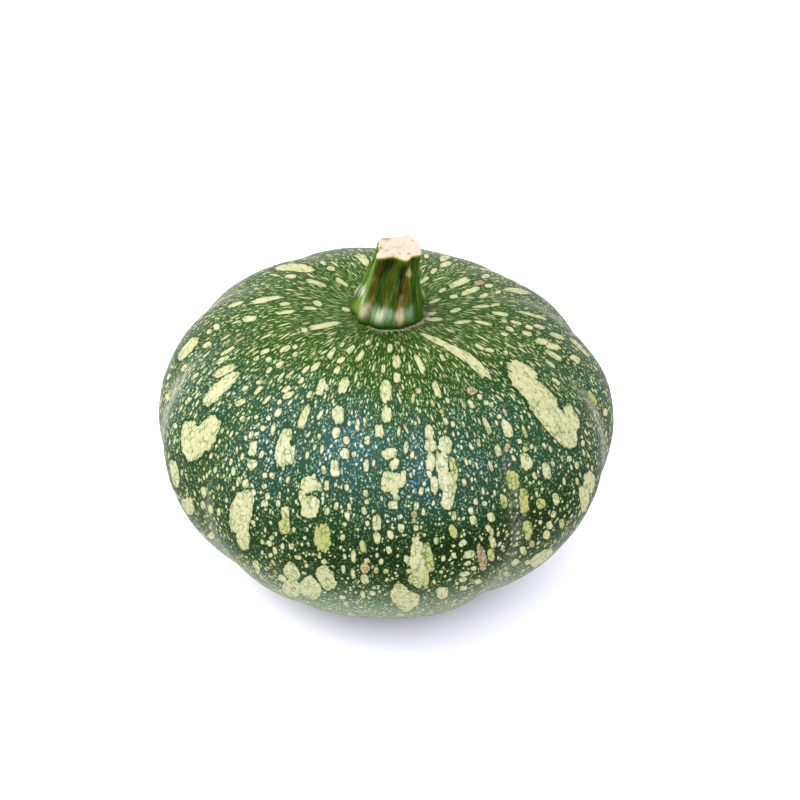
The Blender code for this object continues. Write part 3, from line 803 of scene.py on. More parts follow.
def nearest_marks(rows, azimuth, arc):
    """For each point, the marks that it lies deepest in or nearest to, and how deep; -1 is none."""
    order = np.argsort(arc)
    sorted_arcs = arc[order]
    nearest = np.full((MARKS_READ, len(arc)), -1)
    depths = np.full((MARKS_READ, len(arc)), -MARK_REACH)
    for index, row in enumerate(rows):
        mark = Mark(*row)
        span = (1.0 + MARK_REACH / mark.half_width) * (abs(mark.long_north) + abs(mark.short_north))
        low, high = np.searchsorted(sorted_arcs, (mark.arc - span, mark.arc + span))
        points = order[low:high]
        reach = np.hypot(*place_in_mark(mark, azimuth[points], arc[points]))
        inside = (1.0 - reach) * mark.half_width
        nearer = inside > depths[-1, points]
        points = points[nearer]
        depths[-1, points] = inside[nearer]
        nearest[-1, points] = index
        ranking = np.argsort(-depths[:, points], axis=0, kind="stable")
        depths[:, points] = np.take_along_axis(depths[:, points], ranking, axis=0)
        nearest[:, points] = np.take_along_axis(nearest[:, points], ranking, axis=0)
    return nearest, depths


def set_attribute(mesh, name, values, domain="POINT"):
    """Store numbers, vectors or colours on a mesh for its material to read."""
    values = np.ascontiguousarray(values, np.float32)
    columns = values.shape[1] if values.ndim > 1 else 1
    kind, field = ATTRIBUTE_KINDS[columns]
    mesh.attributes.new(name, kind, domain).data.foreach_set(field, values.ravel())


def read_mesh(items, field, width, kind=np.float32):
    """A field of a mesh's vertices, loops or faces as an array."""
    values = np.empty(len(items) * width, kind)
    items.foreach_get(field, values)
    return values.reshape(-1, width) if width > 1 else values


def store_marks(mesh, rows, azimuth, arc):
    """Give each face's corners their place in its nearest marks, so that the edges stay sharp."""
    corner_verts = read_mesh(mesh.loops, "vertex_index", 1, np.int32)
    corners_each = read_mesh(mesh.polygons, "loop_total", 1, np.int32)
    face_of_corner = np.repeat(np.arange(len(corners_each)), corners_each)
    starts = np.concatenate([[0], np.cumsum(corners_each)[:-1]])
    turn = np.radians(azimuth[corner_verts])
    sines = np.add.reduceat(np.sin(turn), starts)
    cosines = np.add.reduceat(np.cos(turn), starts)
    face_azimuth = np.degrees(np.arctan2(sines, cosines))
    face_arc = np.add.reduceat(arc[corner_verts], starts) / corners_each
    nearest, _ = nearest_marks(rows, face_azimuth, face_arc)
    sizes = []
    for number, chosen in enumerate(nearest[:, face_of_corner]):
        mark = Mark(*rows[chosen].T)
        along, across = place_in_mark(mark, azimuth[corner_verts], arc[corner_verts])
        found = chosen >= 0
        place = (*np.where(found, (along, across), NO_MARK), 0.0 * along)
        set_attribute(mesh, f"mark_{number}", np.transpose(place), "CORNER")
        sizes.append(np.where(found, mark.half_width, 1.0))
    set_attribute(mesh, "mark_size", np.transpose(sizes), "CORNER")

    nearest, depths = nearest_marks(rows, azimuth, arc)
    weights = np.exp(depths / KIND_BLEND) * (nearest >= 0)
    weights /= np.maximum(weights.sum(axis=0), 1.0e-9)
    green = (rows[nearest, Mark._fields.index("green")] * weights).sum(axis=0)
    cork = (rows[nearest, Mark._fields.index("cork")] * weights).sum(axis=0)
    set_attribute(mesh, "mark_kind", np.transpose([green, cork, 0.0 * green]))


def lumps(points, seed, waves, lengths):
    """Gentle seeded unevenness from crossed waves, about 1 high each way."""
    draw = np.random.default_rng(seed)
    directions = draw.normal(size=(waves, 3))
    directions /= np.linalg.norm(directions, axis=1, keepdims=True)
    numbers = 2.0 * np.pi / draw.uniform(*lengths, waves)
    phases = draw.uniform(0.0, 2.0 * np.pi, waves)
    total = np.zeros(len(points))
    for direction, number, phase in zip(directions, numbers, phases):
        total += np.sin(points @ direction * number + phase)
    return total / math.sqrt(waves)


def beyond_collar(azimuth):
    """0 where the corky collar shows, in front and to the right of the stem, and 1 elsewhere."""
    return smooth_step(*COLLAR_ENDS, np.abs(turn_between(azimuth, COLLAR_AZIMUTH)) / COLLAR_HALF_TURN)


def skin_relief(points, azimuth, latitude):
    """Height of the skin's small forms: lumps, the corky collar and the blossom end's dimple."""
    fade = 1.0 - smooth_step(*LUMPS_FADE, latitude)
    relief = LUMP_HEIGHT * lumps(points, *SKIN_LUMPS) * fade
    uneven = 1.0 + COLLAR_UNEVENNESS * lumps(points, *COLLAR_LUMPS)
    ring = bell(flat_distance(points, STEM_X, STEM_Y) - COLLAR_RADIUS, COLLAR_HALF_WIDTH)
    above = latitude > 0.0
    relief += above * ring * uneven * COLLAR_HEIGHT * (1.0 - beyond_collar(azimuth))
    relief -= ~above * BLOSSOM_DIMPLE * bell(flat_distance(points), BLOSSOM_DIMPLE_RADIUS, 4)
    return relief


def colour_zones(azimuth, latitude):
    """How far each point lies in the bluish zone (partly painted reflection), the upper zone and painted
    shade.
    """
    # The bluish zone is partly wax bloom and partly a painted reflection of the window and sky, strongest
    # on the front
    front = bell(turn_between(azimuth, SHEEN_AND_BLOOM_AZIMUTH), SHEEN_AND_BLOOM_HALF_WIDTH)
    band = bell(latitude - SHEEN_AND_BLOOM_LATITUDE, SHEEN_AND_BLOOM_HALF_HEIGHT)
    sheen_and_bloom = band * (SHEEN_AND_BLOOM_ELSEWHERE + (1.0 - SHEEN_AND_BLOOM_ELSEWHERE) * front)
    # The dark band is painted shade low on the front, and a painted shadow in front of the stem is added
    # to it
    shaded = bell(turn_between(azimuth, PAINTED_SHADE_AZIMUTH), PAINTED_SHADE_HALF_WIDTH)
    dark = bell(latitude - PAINTED_SHADE_LATITUDE, PAINTED_SHADE_HALF_HEIGHT)
    dark = dark * (PAINTED_SHADE_ELSEWHERE + (1.0 - PAINTED_SHADE_ELSEWHERE) * shaded)
    dark = dark + PAINTED_STEM_SHADOW * front * smooth_step(*PAINTED_STEM_SHADOW_ZONE, latitude)
    return np.stack([sheen_and_bloom, smooth_step(*UPPER_ZONE, latitude), dark], axis=-1)


def scuffs_and_sheen(azimuth, latitude):
    """How far each point lies in a silvery groove band, partly scuff and partly painted sheen."""
    total = np.zeros(len(azimuth))
    for middle, half_width, low, high, strength in SCUFFS_AND_SHEEN:
        across = bell(turn_between(azimuth, middle), half_width)
        along = smooth_step(low - SCUFF_AND_SHEEN_FADE, low + SCUFF_AND_SHEEN_FADE, latitude)
        along *= 1.0 - smooth_step(high - SCUFF_AND_SHEEN_FADE, high + SCUFF_AND_SHEEN_FADE, latitude)
        total = np.maximum(total, strength * across * along)
    return total


def new_mesh(name, bm):
    """A mesh from a bmesh, which is freed."""
    mesh = bpy.data.meshes.new(name)
    bm.to_mesh(mesh)
    bm.free()
    return mesh


def finish_piece(name, mesh, material, node_name):
    """Make the object that stands for a solid: smooth shaded, at the origin, riding on the root."""
    mesh.materials.append(material)
    mesh.shade_smooth()
    piece = bpy.data.objects.new(name, mesh)
    bpy.context.scene.collection.objects.link(piece)
    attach(piece, "root")
    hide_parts(node_name)
    return piece


def make_fruit(fruit):
    """The ribbed fruit: a globe moved onto the skin, with its marks and growth stored on it."""
    bm = bmesh.new()
    bmesh.ops.create_uvsphere(bm, u_segments=fruit.segments, v_segments=fruit.rings, radius=1.0)
    mesh = new_mesh("squash_fruit", bm)
    directions = read_mesh(mesh.vertices, "co", 3).astype(float)
    ring = np.degrees(np.arcsin(np.clip(directions[:, 2], -1.0, 1.0)))
    latitude = np.interp(ring, RING_STOPS, LATITUDE_STOPS)
    azimuth = np.degrees(np.arctan2(directions[:, 1], directions[:, 0]))
    points = skin_points(fruit, azimuth, latitude)
    mesh.vertices.foreach_set("co", points.astype(np.float32).ravel())
    mesh.update()
    normals = read_mesh(mesh.vertices, "normal", 3)
    points = points + normals * skin_relief(points, azimuth, latitude)[:, None]
    mesh.vertices.foreach_set("co", points.astype(np.float32).ravel())
    mesh.update()

    table = meridian_table(fruit)
    arc = np.interp(latitude, table[0], table[1])
    growth = np.interp(latitude, table[0], table[2])
    around = fruit.width / 2.0 * MM
    turn = np.radians(azimuth)
    place = np.stack([around * np.cos(turn), around * np.sin(turn), growth], axis=-1)
    set_attribute(mesh, "growth", place)
    set_attribute(mesh, "zones", colour_zones(azimuth, latitude))
    # Silvery groove bands: partly scuffs, partly painted sheen
    set_attribute(mesh, "scuff_and_sheen", scuffs_and_sheen(azimuth, latitude))
    # Pale veil low down: partly dust, partly painted light from the floor
    dust_and_floor_bounce = BASE_DUST_AND_FLOOR_BOUNCE + (1.0 - BASE_DUST_AND_FLOOR_BOUNCE) * smooth_step(*BASE_ZONE, latitude)
    set_attribute(mesh, "dust_and_floor_bounce", dust_and_floor_bounce * (1.0 - smooth_step(*DUST_AND_FLOOR_BOUNCE_ZONE, latitude)))
    from_stem = np.where(latitude > 0.0, flat_distance(points, STEM_X, STEM_Y), fruit.width) * MM
    set_attribute(mesh, "from_stem", from_stem + COLLAR_PUSHED_MM * beyond_collar(azimuth))
    set_attribute(mesh, "from_blossom", np.where(latitude < 0.0, flat_distance(points), fruit.width) * MM)

    read = skin_reader(mesh, directions)
    marks = []
    for rows, green, cork in ((PALE_MARKS, 0.0, 0.0), (GREEN_MARKS, 1.0, 0.0), (CORK_MARKS, 0.0, 1.0)):
        marks.extend(seen_mark(fruit, table, read, row, green, cork) for row in rows)
    store_marks(mesh, scattered_marks(fruit, table, marks), azimuth, arc)
    return finish_piece("squash_fruit", mesh, rind_material(fruit), "fruit")


def make_stem(stem):
    """The ridged stem with its rough cut top: a cylinder moved onto the stem's form."""
    bm = bmesh.new()
    bmesh.ops.create_cone(
        bm, cap_ends=True, segments=stem.segments, radius1=1.0, radius2=1.0, depth=1.0,
    )
    upright = [edge for edge in bm.edges if abs(edge.verts[0].co.z - edge.verts[1].co.z) > 0.5]
    bmesh.ops.subdivide_edges(bm, edges=upright, cuts=stem.rings - 1, use_grid_fill=True)
    bm.normal_update()
    top = [face for face in bm.faces if face.normal.z > 0.5]
    for _ in range(CUT_RINGS - 1):
        bmesh.ops.inset_region(bm, faces=top, thickness=1.0 / CUT_RINGS)
    bmesh.ops.poke(bm, faces=top)
    mesh = new_mesh("squash_stem", bm)
    raw = read_mesh(mesh.vertices, "co", 3).astype(float)
    azimuth = np.degrees(np.arctan2(raw[:, 1], raw[:, 0]))
    inward = np.minimum(np.hypot(raw[:, 0], raw[:, 1]), 1.0)
    share = np.clip(raw[:, 2] + 0.5, 0.0, 1.0) ** STEM_RING_CROWDING
    ridge = 0.0
    for ridge_azimuth, top_height, foot_height in STEM_RIDGES:
        high = foot_height + (top_height - foot_height) * share
        ridge = ridge + high * bell(turn_between(azimuth, ridge_azimuth), STEM_RIDGE_HALF_WIDTH)
    radius = stem.top_radius + (stem.foot_radius - stem.top_radius) * (1.0 - share) ** STEM_FLARE_POWER
    radius = radius - STEM_FOOT_TUCK * (1.0 - smooth_step(0.0, STEM_TUCK_SHARE, share)) + ridge
    for swelling_azimuth, swelling_height in SWELLINGS:
        across = bell(turn_between(azimuth, swelling_azimuth), SWELLING_HALF_WIDTH)
        radius = radius + swelling_height * across * bell(share - SWELLING_SHARE, SWELLING_HALF_SHARE)
    around = np.radians(azimuth)
    height = share * stem.height
    place = np.stack([STEM_ROUND * np.cos(around), STEM_ROUND * np.sin(around), height * MM], axis=-1)
    lines = lumps(place * LINES_STRETCH, *STEM_LINES)
    radius = radius + STRIATION_HEIGHT * lines * (inward > ALMOST_ALL)
    out_x = inward * radius * np.cos(around)
    out_y = inward * radius * np.sin(around)
    x = STEM_X + stem.lean * share ** STEM_LEAN_POWER + out_x
    y = STEM_Y + out_y
    z = STEM_LOW.z + height - STEM_SINK * (1.0 - smooth_step(0.0, STEM_SINK_SHARE, share))
    from_middle = np.stack([out_x, out_y], axis=-1) * MM
    at_top = share > ALMOST_ALL
    z = z + (at_top & (inward < ALMOST_ALL)) * cut_relief(from_middle, inward) / MM
    points = np.stack([x, y, z], axis=-1)
    mesh.vertices.foreach_set("co", points.astype(np.float32).ravel())
    mesh.update()
    set_attribute(mesh, "stem_place", place)
    set_attribute(mesh, "cut_place", np.stack([*from_middle.T, 0.0 * inward], axis=-1))
    set_attribute(mesh, "share", share)
    set_attribute(mesh, "cut", at_top * 1.0)
    set_attribute(mesh, "inward", inward)
    wobble = STRIPE_WOBBLE_DEGREES * lumps(place * WOBBLE_STRETCH, *STRIPE_WOBBLE)
    rise = share + STRIPE_RISE_SHARE * lumps(place * RISE_STRETCH, *STRIPE_RISE)
    set_attribute(mesh, "stripes", stem_stripes(stem, azimuth + wobble, rise))
    crumble = lumps(np.column_stack([from_middle, inward]), *STAIN_CRUMBLE)
    stained = cut_stains(stem, from_middle + STAIN_CRUMBLE_MM * crumble[:, None])
    set_attribute(mesh, "stains", stained)
    return finish_piece("squash_stem", mesh, stem_material(stem), "stem")


def paint(painted, share, tint):
    """Lay a tint over painted colours, as strong as its share says."""
    painted += share[:, None] * (np.array(colour(tint)) - painted)


def stem_stripes(stem, azimuth, share):
    """The stem's colour from its stripes and its patches."""
    painted = np.tile(np.array(stem.green), (len(azimuth), 1))
    for middle, half_width, low, high, tint in STEM_STRIPES:
        across = bell(turn_between(azimuth, middle), half_width, 3)
        along = smooth_step(low - STRIPE_FOOT_FADE, low + STRIPE_FOOT_FADE, share)
        along *= 1.0 - smooth_step(high - STRIPE_TOP_FADE, high + STRIPE_TOP_FADE, share)
        paint(painted, STRIPE_STRENGTH * across * along, tint)
    for middle, half_width, middle_share, half_share, tint in STEM_PATCHES:
        across = turn_between(azimuth, middle) / half_width
        away = np.hypot(across, (share - middle_share) / half_share)
        paint(painted, STRIPE_STRENGTH * bell(away, 1.0, 3), tint)
    return painted


def cut_stains(stem, place):
    """The cut top's colour from its stains."""
    painted = np.tile(np.array(stem.cut_face), (len(place), 1))
    for x, y, radius, tint in CUT_STAINS:
        paint(painted, STAIN_STRENGTH * bell(flat_distance(place, x, y), radius, 4), tint)
    return painted


def cut_relief(place, inward):
    """Height in mm of the rough cut top: a raised rim, fibres and small pits."""
    height = CUT_ROUGHNESS_MM * lumps(np.column_stack([place, 0.0 * inward]), *CUT_FIBRES)
    height = height - CUT_RIM_MM * (1.0 - smooth_step(CUT_RIM_FROM, 1.0, inward))
    for pit_x, pit_y, pit_radius, pit_depth in CUT_PITS:
        height = height - pit_depth * bell(flat_distance(place, pit_x, pit_y), pit_radius)
    return height


def add_node(tree, kind, inputs=(), output=0, **settings):
    """Add a node, feed its inputs by name or in order with values or sockets, and return an output."""
    item = tree.nodes.new("ShaderNode" + kind)
    for name, value in settings.items():
        setattr(item, name, value)
    pairs = inputs if isinstance(inputs, dict) else dict(enumerate(inputs))
    for key, value in pairs.items():
        if isinstance(value, bpy.types.NodeSocket):
            tree.links.new(value, item.inputs[key])
        else:
            item.inputs[key].default_value = value
    return item.outputs[output]


def new_material(name):
    """A material with its tree's node adder and its surface shader."""
    material = bpy.data.materials.new(name)
    material.use_nodes = True
    tree = material.node_tree
    return material, partial(add_node, tree), tree.nodes["Principled BSDF"]


def clouds(add, place, scale, detail, window, roughness=0.5):
    """Clouds of noise, their scale per mm: the window is a low and a high of it, and what they give."""
    noise = add("TexNoise", {"Vector": place, "Scale": scale, "Detail": detail, "Roughness": roughness})
    return add("MapRange", (noise, *window))


def centred_noise(add, place, scale, detail):
    """Noise with its scale per mm, about as often below 0 as above."""
    noise = add("TexNoise", {"Vector": place, "Scale": scale, "Detail": detail})
    return add("Math", (noise, 0.5), operation="SUBTRACT")


def speckles(add, place, cell, present, smallest, largest, soft):
    """Round spots on scattered cells: spacing, share present, radii and softness of the edge, in mm."""
    cells = add("TexVoronoi", {"Vector": place, "Scale": 1.0 / cell}, output="Color")
    chance = add("SeparateColor", (cells,), output="Red")
    radius = add("MapRange", (chance.node.outputs["Green"], 0.0, 1.0, smallest / cell, largest / cell))
    inside = add("Math", (radius, cells.node.outputs["Distance"]), operation="SUBTRACT")
    spot = add("MapRange", (inside, -soft / cell, soft / cell), interpolation_type="SMOOTHSTEP")
    here = add("Math", (chance, present), operation="LESS_THAN")
    return add("Math", (spot, here), operation="MULTIPLY")


def layered(add, base, layers):
    """Lay tints over a base, each as strong as its share says."""
    for share, tint in layers:
        mix = {MIX_SHARE: share, MIX_FROM: base, MIX_TO: tint}
        base = add("Mix", mix, output=MIX_RESULT, data_type="RGBA")
    return base


def rind_material(fruit):
    """Waxy squash rind, grown smooth. The eye sees dark green, dusted with pale spots, hardly shining."""
    material, add, surface = new_material("waxy_squash_rind")
    growth, zones, sizes, kinds = [
        add("Attribute", output="Vector", attribute_name=name)
        for name in ("growth", "zones", "mark_size", "mark_kind")
    ]
    dust_and_floor_bounce, scuff_and_sheen, from_stem, from_blossom = [
        add("Attribute", output="Fac", attribute_name=name)
        for name in ("dust_and_floor_bounce", "scuff_and_sheen", "from_stem", "from_blossom")
    ]
    sheen_and_bloom = add("SeparateXYZ", (zones,), output="X")
    upper = sheen_and_bloom.node.outputs["Y"]
    dark = sheen_and_bloom.node.outputs["Z"]

    # Spots aren't quite round: their places wander by up to about a third of a millimetre
    wander = add("TexNoise", {"Vector": growth, "Scale": WANDER_SCALE, "Detail": 1.0}, output="Color")
    wander = add("VectorMath", (wander, (0.5, 0.5, 0.5)), operation="SUBTRACT")
    wander = add("VectorMath", {0: wander, "Scale": WANDER_MM}, operation="SCALE")
    place = add("VectorMath", (growth, wander), operation="ADD")

    # Depth inside the pale marks, in mm: their edges bend, and are scalloped by cells of about 1.2 mm
    nearest_size = add("SeparateXYZ", (sizes,), output="X")
    depth = -MARK_REACH
    for number, size in enumerate(nearest_size.node.outputs):
        corner = add("Attribute", output="Vector", attribute_name=f"mark_{number}")
        square = add("VectorMath", (corner, corner), operation="MULTIPLY")
        blunt = add("VectorMath", (square,), output="Value", operation="LENGTH")
        blunt = add("Math", (blunt,), operation="SQRT")
        round_reach = add("VectorMath", (corner,), output="Value", operation="LENGTH")
        reach = add("Math", (round_reach, blunt), operation="ADD")
        inside = add("Math", (reach, -0.5, 1.0), operation="MULTIPLY_ADD")
        inside = add("Math", (inside, size), operation="MULTIPLY")
        depth = add("Math", (depth, inside, MARK_JOIN), operation="SMOOTH_MAX")
    bends = add("MapRange", (nearest_size, *SIZE_TO_BEND))
    edge = add("Math", (centred_noise(add, growth, *BEND_NOISE), bends, depth), operation="MULTIPLY_ADD")
    cells = add("TexVoronoi", {"Vector": place, "Scale": SCALLOPS_PER_MM}, output="Distance")
    cell_chance = add("SeparateColor", (cells.node.outputs["Color"],), output="Red")
    scallop = add("Math", (cell_chance, *SCALLOP_REACH), operation="MULTIPLY_ADD")
    scallop = add("Math", (scallop, cells), operation="SUBTRACT")
    frays = add("MapRange", (nearest_size, *SIZE_TO_FRAY))
    edge = add("Math", (scallop, frays, edge), operation="MULTIPLY_ADD")
    fray = centred_noise(add, growth, *FRAY_NOISE)
    edge = add("Math", (fray, FRAY_MM, edge), operation="MULTIPLY_ADD")
    mark = add("MapRange", (edge, *MARK_EDGE), interpolation_type="SMOOTHSTEP")
    clear = add("Math", (nearest_size, *BARE_TO), operation="MULTIPLY_ADD")
    bare = add("MapRange", (edge, BARE_FROM, clear), interpolation_type="SMOOTHSTEP")
    halo = add("Math", (bare, -HALO_STRENGTH, HALO_STRENGTH), operation="MULTIPLY_ADD")

    # Ground: deep green, bluish under the wax bloom and painted reflection, yellower near the stem,
    # darkest low down in painted shade, then a pale veil of dust and painted floor light
    patches = clouds(add, growth, *SHEEN_AND_BLOOM_PATCHES)
    # Patches of the bluish zone, which is partly painted reflection
    sheen_and_bloom = add("Math", (sheen_and_bloom, patches), operation="MULTIPLY", use_clamp=True)
    dust_and_floor_bounce_veil = add("Math", (dust_and_floor_bounce, DUST_AND_FLOOR_BOUNCE_VEIL), operation="MULTIPLY")
    skin = layered(add, fruit.deep_green, (
        (sheen_and_bloom, fruit.blue_green),
        (upper, colour("#203b0d")),
        # Painted shade: the dark band low on the front and the shadow in front of the stem
        (dark, colour("#0a1c03")),
        (halo, colour("#0f270e")),
        # Pale veil low down: partly dust, partly painted light from the floor
        (dust_and_floor_bounce_veil, colour("#7c8b70")),
    ))

    # Speckles: a fine dust of half-millimetre dots, then small spots
    dust = speckles(add, place, *DUST)
    # The dust is dimmed in the painted shade
    dim = add("Math", (dark, -DUST_DIMMED, 1.0), operation="MULTIPLY_ADD")
    for share in (clouds(add, growth, *THIN_DUST), dim, bare):
        dust = add("Math", (dust, share), operation="MULTIPLY")
    spots = speckles(add, place, *SPOTS)
    spots = add("Math", (spots, bare), operation="MULTIPLY")
    # Dots are greener away from the bluish zone of bloom and painted reflection
    greener = add("Math", (1.0, sheen_and_bloom), operation="SUBTRACT")
    # Dots darken in the painted shade and pale in the veil of dust and painted floor light
    dot = layered(add, fruit.speckle, (
        (greener, colour("#7a8c50")), (dark, colour("#667a42")), (dust_and_floor_bounce, colour("#a6ae92")),
    ))
    spot = layered(add, colour("#9fae8e"), ((greener, colour("#969e66")), (dust_and_floor_bounce, colour("#b2b498"))))
    skin = layered(add, skin, ((dust, dot), (spots, spot)))

    # Grooves: silvery bands, partly scuffs and partly painted sheen, broken up along the groove
    broken = clouds(add, growth, *BROKEN_SCUFFS_AND_SHEEN)
    scuff_and_sheen = add("Math", (scuff_and_sheen, broken), operation="MULTIPLY")
    skin = layered(add, skin, ((scuff_and_sheen, colour("#94957f")),))

    # Pale marks: cream in the middle, greener near the edge, finely veined between their cells
    green_kind = add("SeparateXYZ", (kinds,), output="X")
    cork_kind = green_kind.node.outputs["Y"]
    tint = clouds(add, growth, *CREAM_CLOUDS)
    outer = add("MapRange", (edge, *OUTER_EDGE))
    outer = add("Math", (outer, OUTER_STRENGTH), operation="MULTIPLY")
    veins = {"Vector": place, "Scale": VEINS_PER_MM}
    veins = add("TexVoronoi", veins, output="Distance", feature="DISTANCE_TO_EDGE")
    veins = add("MapRange", (veins, *VEIN_EDGE))
    faint = clouds(add, growth, *FAINT_VEINS)
    faint = add("Math", (green_kind, GREEN_VEINS, faint), operation="MULTIPLY_ADD", use_clamp=True)
    veins = add("Math", (veins, faint), operation="MULTIPLY")
    grit = clouds(add, growth, *CORKY_GRIT)
    cork = layered(add, colour("#5c5236"), ((grit, colour("#a0926a")),))
    green_share = add("Math", (green_kind, GREEN_STRENGTH), operation="MULTIPLY")
    mottle = add("MapRange", (nearest_size, *SIZE_TO_GRIT))
    mottle = add("Math", (grit, mottle), operation="MULTIPLY")
    # Pale marks are lighter under the painted reflection, and paler in the veil of dust and painted floor
    # light
    pale = layered(add, fruit.pale, (
        (sheen_and_bloom, colour("#b9b69c")),
        (dust_and_floor_bounce, colour("#b0ab92")),
        (tint, colour("#9f9f74")),
        (green_share, colour("#8e8f42")),
        (outer, colour("#959b6c")),
        (mottle, colour("#7a8a50")),
        (veins, colour("#47612e")),
        (cork_kind, cork),
    ))

    # Cork: the collar round the stem and the scar at the blossom end, with crumbs of about 2 mm
    crumbs = add("TexCoord", output="Object")
    crumbs = {"Vector": crumbs, "Scale": CRUMBS_PER_METRE, "Detail": 3.0, "Roughness": 0.6}
    crumbs = add("TexNoise", crumbs)
    crumbs = add("Math", (crumbs, 0.5), operation="SUBTRACT")
    collar = add("Math", (from_stem, COLLAR_RADIUS * MM), operation="SUBTRACT")
    collar = add("Math", (collar,), operation="ABSOLUTE")
    collar = add("Math", (crumbs, COLLAR_CRUMBS_MM, collar), operation="MULTIPLY_ADD")
    collar = add("MapRange", (collar, *COLLAR_EDGE))
    blossom = add("Math", (crumbs, BLOSSOM_CRUMBS_MM, from_blossom), operation="MULTIPLY_ADD")
    blossom = add("MapRange", (blossom, *BLOSSOM_EDGE))
    corky = add("Math", (collar, blossom), operation="MAXIMUM")
    crust = layered(add, colour("#4a4232"), ((grit, colour("#a3987c")),))
    skin = layered(add, skin, ((mark, pale), (corky, crust)))

    # Relief: raised spots and marks, and fine pores
    pores = add("TexNoise", {"Vector": growth, "Scale": 2.2, "Detail": 2.0})
    height = add("Math", (spots, 0.5, pores), operation="MULTIPLY_ADD")
    height = add("Math", (mark, 0.7, height), operation="MULTIPLY_ADD")
    normal = add("Bump", {"Height": height, "Strength": 0.7, "Distance": 0.0001})
    dull = add("Math", (mark, corky), operation="MAXIMUM")
    roughness = add("MapRange", (dull, *RIND_ROUGHNESS))
    links = surface.id_data.links
    links.new(skin, surface.inputs["Base Color"])
    links.new(roughness, surface.inputs["Roughness"])
    links.new(normal, surface.inputs["Normal"])
    surface.inputs["IOR"].default_value = RIND_IOR
    surface.inputs["Specular IOR Level"].default_value = WAXY_GLOSS
    return material


def stem_material(stem):
    """Drying squash stem, fibrous. The eye sees green ridges, brown valleys and a cream cut."""
    material, add, surface = new_material("dried_squash_stem")
    place, cut_place, share, cut, inward, stripes, stained = [
        add("Attribute", output=output, attribute_name=name)
        for output, names in (
            ("Vector", ("stem_place", "cut_place")), ("Fac", ("share", "cut", "inward")),
            ("Color", ("stripes", "stains")),
        )
        for name in names
    ]
    streaked = add("VectorMath", (place, STREAK_STRETCH), operation="MULTIPLY")

    # Side: the stripes, broken by fine upright streaks and small dark flecks
    streaks = add("TexNoise", {"Vector": streaked, "Scale": 1.6, "Detail": 3.0, "Roughness": 0.6})
    waxless = add("MapRange", (share, *WAXLESS))
    dark = add("MapRange", (streaks, *DARK_STREAKS))
    dark = add("Math", (dark, waxless), operation="MULTIPLY")
    bright = add("MapRange", (streaks, *BRIGHT_STREAKS))
    below_cut = add("MapRange", (share, *BRIGHT_BELOW_CUT))
    bright = add("Math", (bright, below_cut), operation="MULTIPLY")
    flecks = clouds(add, place, *STEM_FLECKS)
    rim = add("MapRange", (share, *RIM_UNDER_CUT))
    foot = add("MapRange", (share, *GREEN_FOOT))
    side = layered(add, stripes, (
        (dark, colour("#141e02")),
        (bright, colour("#748433")),
        (flecks, colour("#2e2606")),
        (rim, colour("#7e7b2a")),
        (foot, colour("#244a0c")),
    ))

    # Cut top: cream, stained brown at its edge, with a fine grain and dark pits
    grain = clouds(add, cut_place, *CUT_GRAIN)
    outer = add("MapRange", (inward, *GRAIN_OUTWARD))
    grain = add("Math", (grain, outer), operation="MULTIPLY")
    top = layered(add, stained, ((grain, colour("#98825e")),))
    height = add("TexNoise", {"Vector": streaked, "Scale": 2.0, "Detail": 3.0, "Roughness": 0.6})
    normal = add("Bump", {"Height": height, "Strength": 0.8, "Distance": 0.00035})
    links = surface.id_data.links
    links.new(layered(add, side, ((cut, top),)), surface.inputs["Base Color"])
    links.new(normal, surface.inputs["Normal"])
    surface.inputs["Roughness"].default_value = 0.55
    surface.inputs["Specular IOR Level"].default_value = WAXY_GLOSS
    return material


def floor_material(stage):
    """Matte white studio paper. The eye sees no more than a faint tooth in it."""
    material, add, surface = new_material("matte_studio_paper")
    place = add("TexCoord", output="Object")
    tooth = add("TexNoise", {"Vector": place, "Scale": 900.0, "Detail": 2.0})
    normal = add("Bump", {"Height": tooth, "Strength": 0.1, "Distance": 0.0001})
    surface.id_data.links.new(normal, surface.inputs["Normal"])
    surface.inputs["Base Color"].default_value = stage.floor_colour
    surface.inputs["Roughness"].default_value = 0.9
    surface.inputs["Specular IOR Level"].default_value = 0.1
    return material


def make_floor(stage):
    """A plain pale floor just under the fruit."""
    bm = bmesh.new()
    bmesh.ops.create_grid(bm, x_segments=1, y_segments=1, size=stage.floor_size / 2.0)
    bmesh.ops.translate(bm, vec=(0.0, 0.0, FLOOR_DROP), verts=bm.verts)
    mesh = new_mesh("studio_floor", bm)
    mesh.materials.append(floor_material(stage))
    floor = bpy.data.objects.new("studio_floor", mesh)
    bpy.context.scene.collection.objects.link(floor)


def make_lights(stage):
    """An even pale sky, soft lights on the left and in front, and a bluish window only seen reflected."""
    world = bpy.data.worlds.new("studio_sky")
    world.use_nodes = True
    sky = world.node_tree.nodes["Background"]
    sky.inputs["Color"].default_value = colour(SKY_COLOUR)
    sky.inputs["Strength"].default_value = stage.sky_strength
    bpy.context.scene.world = world
    add_softbox("left_softbox", KEY_PLACE, KEY_SIDE, stage.key_power, KEY_COLOUR)
    add_softbox("front_softbox", FILL_PLACE, FILL_SIDE, stage.fill_power, FILL_COLOUR)
    window = add_softbox("sheen_window", WINDOW_PLACE, WINDOW_SIDE, stage.window_power, WINDOW_COLOUR)
    window.visible_diffuse = False


def add_softbox(name, place, side, power, tint):
    """A square light that faces the fruit."""
    lamp = bpy.data.lights.new(name, "AREA")
    lamp.size = side
    lamp.energy = power
    lamp.color = colour(tint)[:3]
    light = bpy.data.objects.new(name, lamp)
    light.location = place
    light.rotation_euler = (Vector(AIM) - light.location).to_track_quat("-Z", "Y").to_euler()
    bpy.context.scene.collection.objects.link(light)
    return light


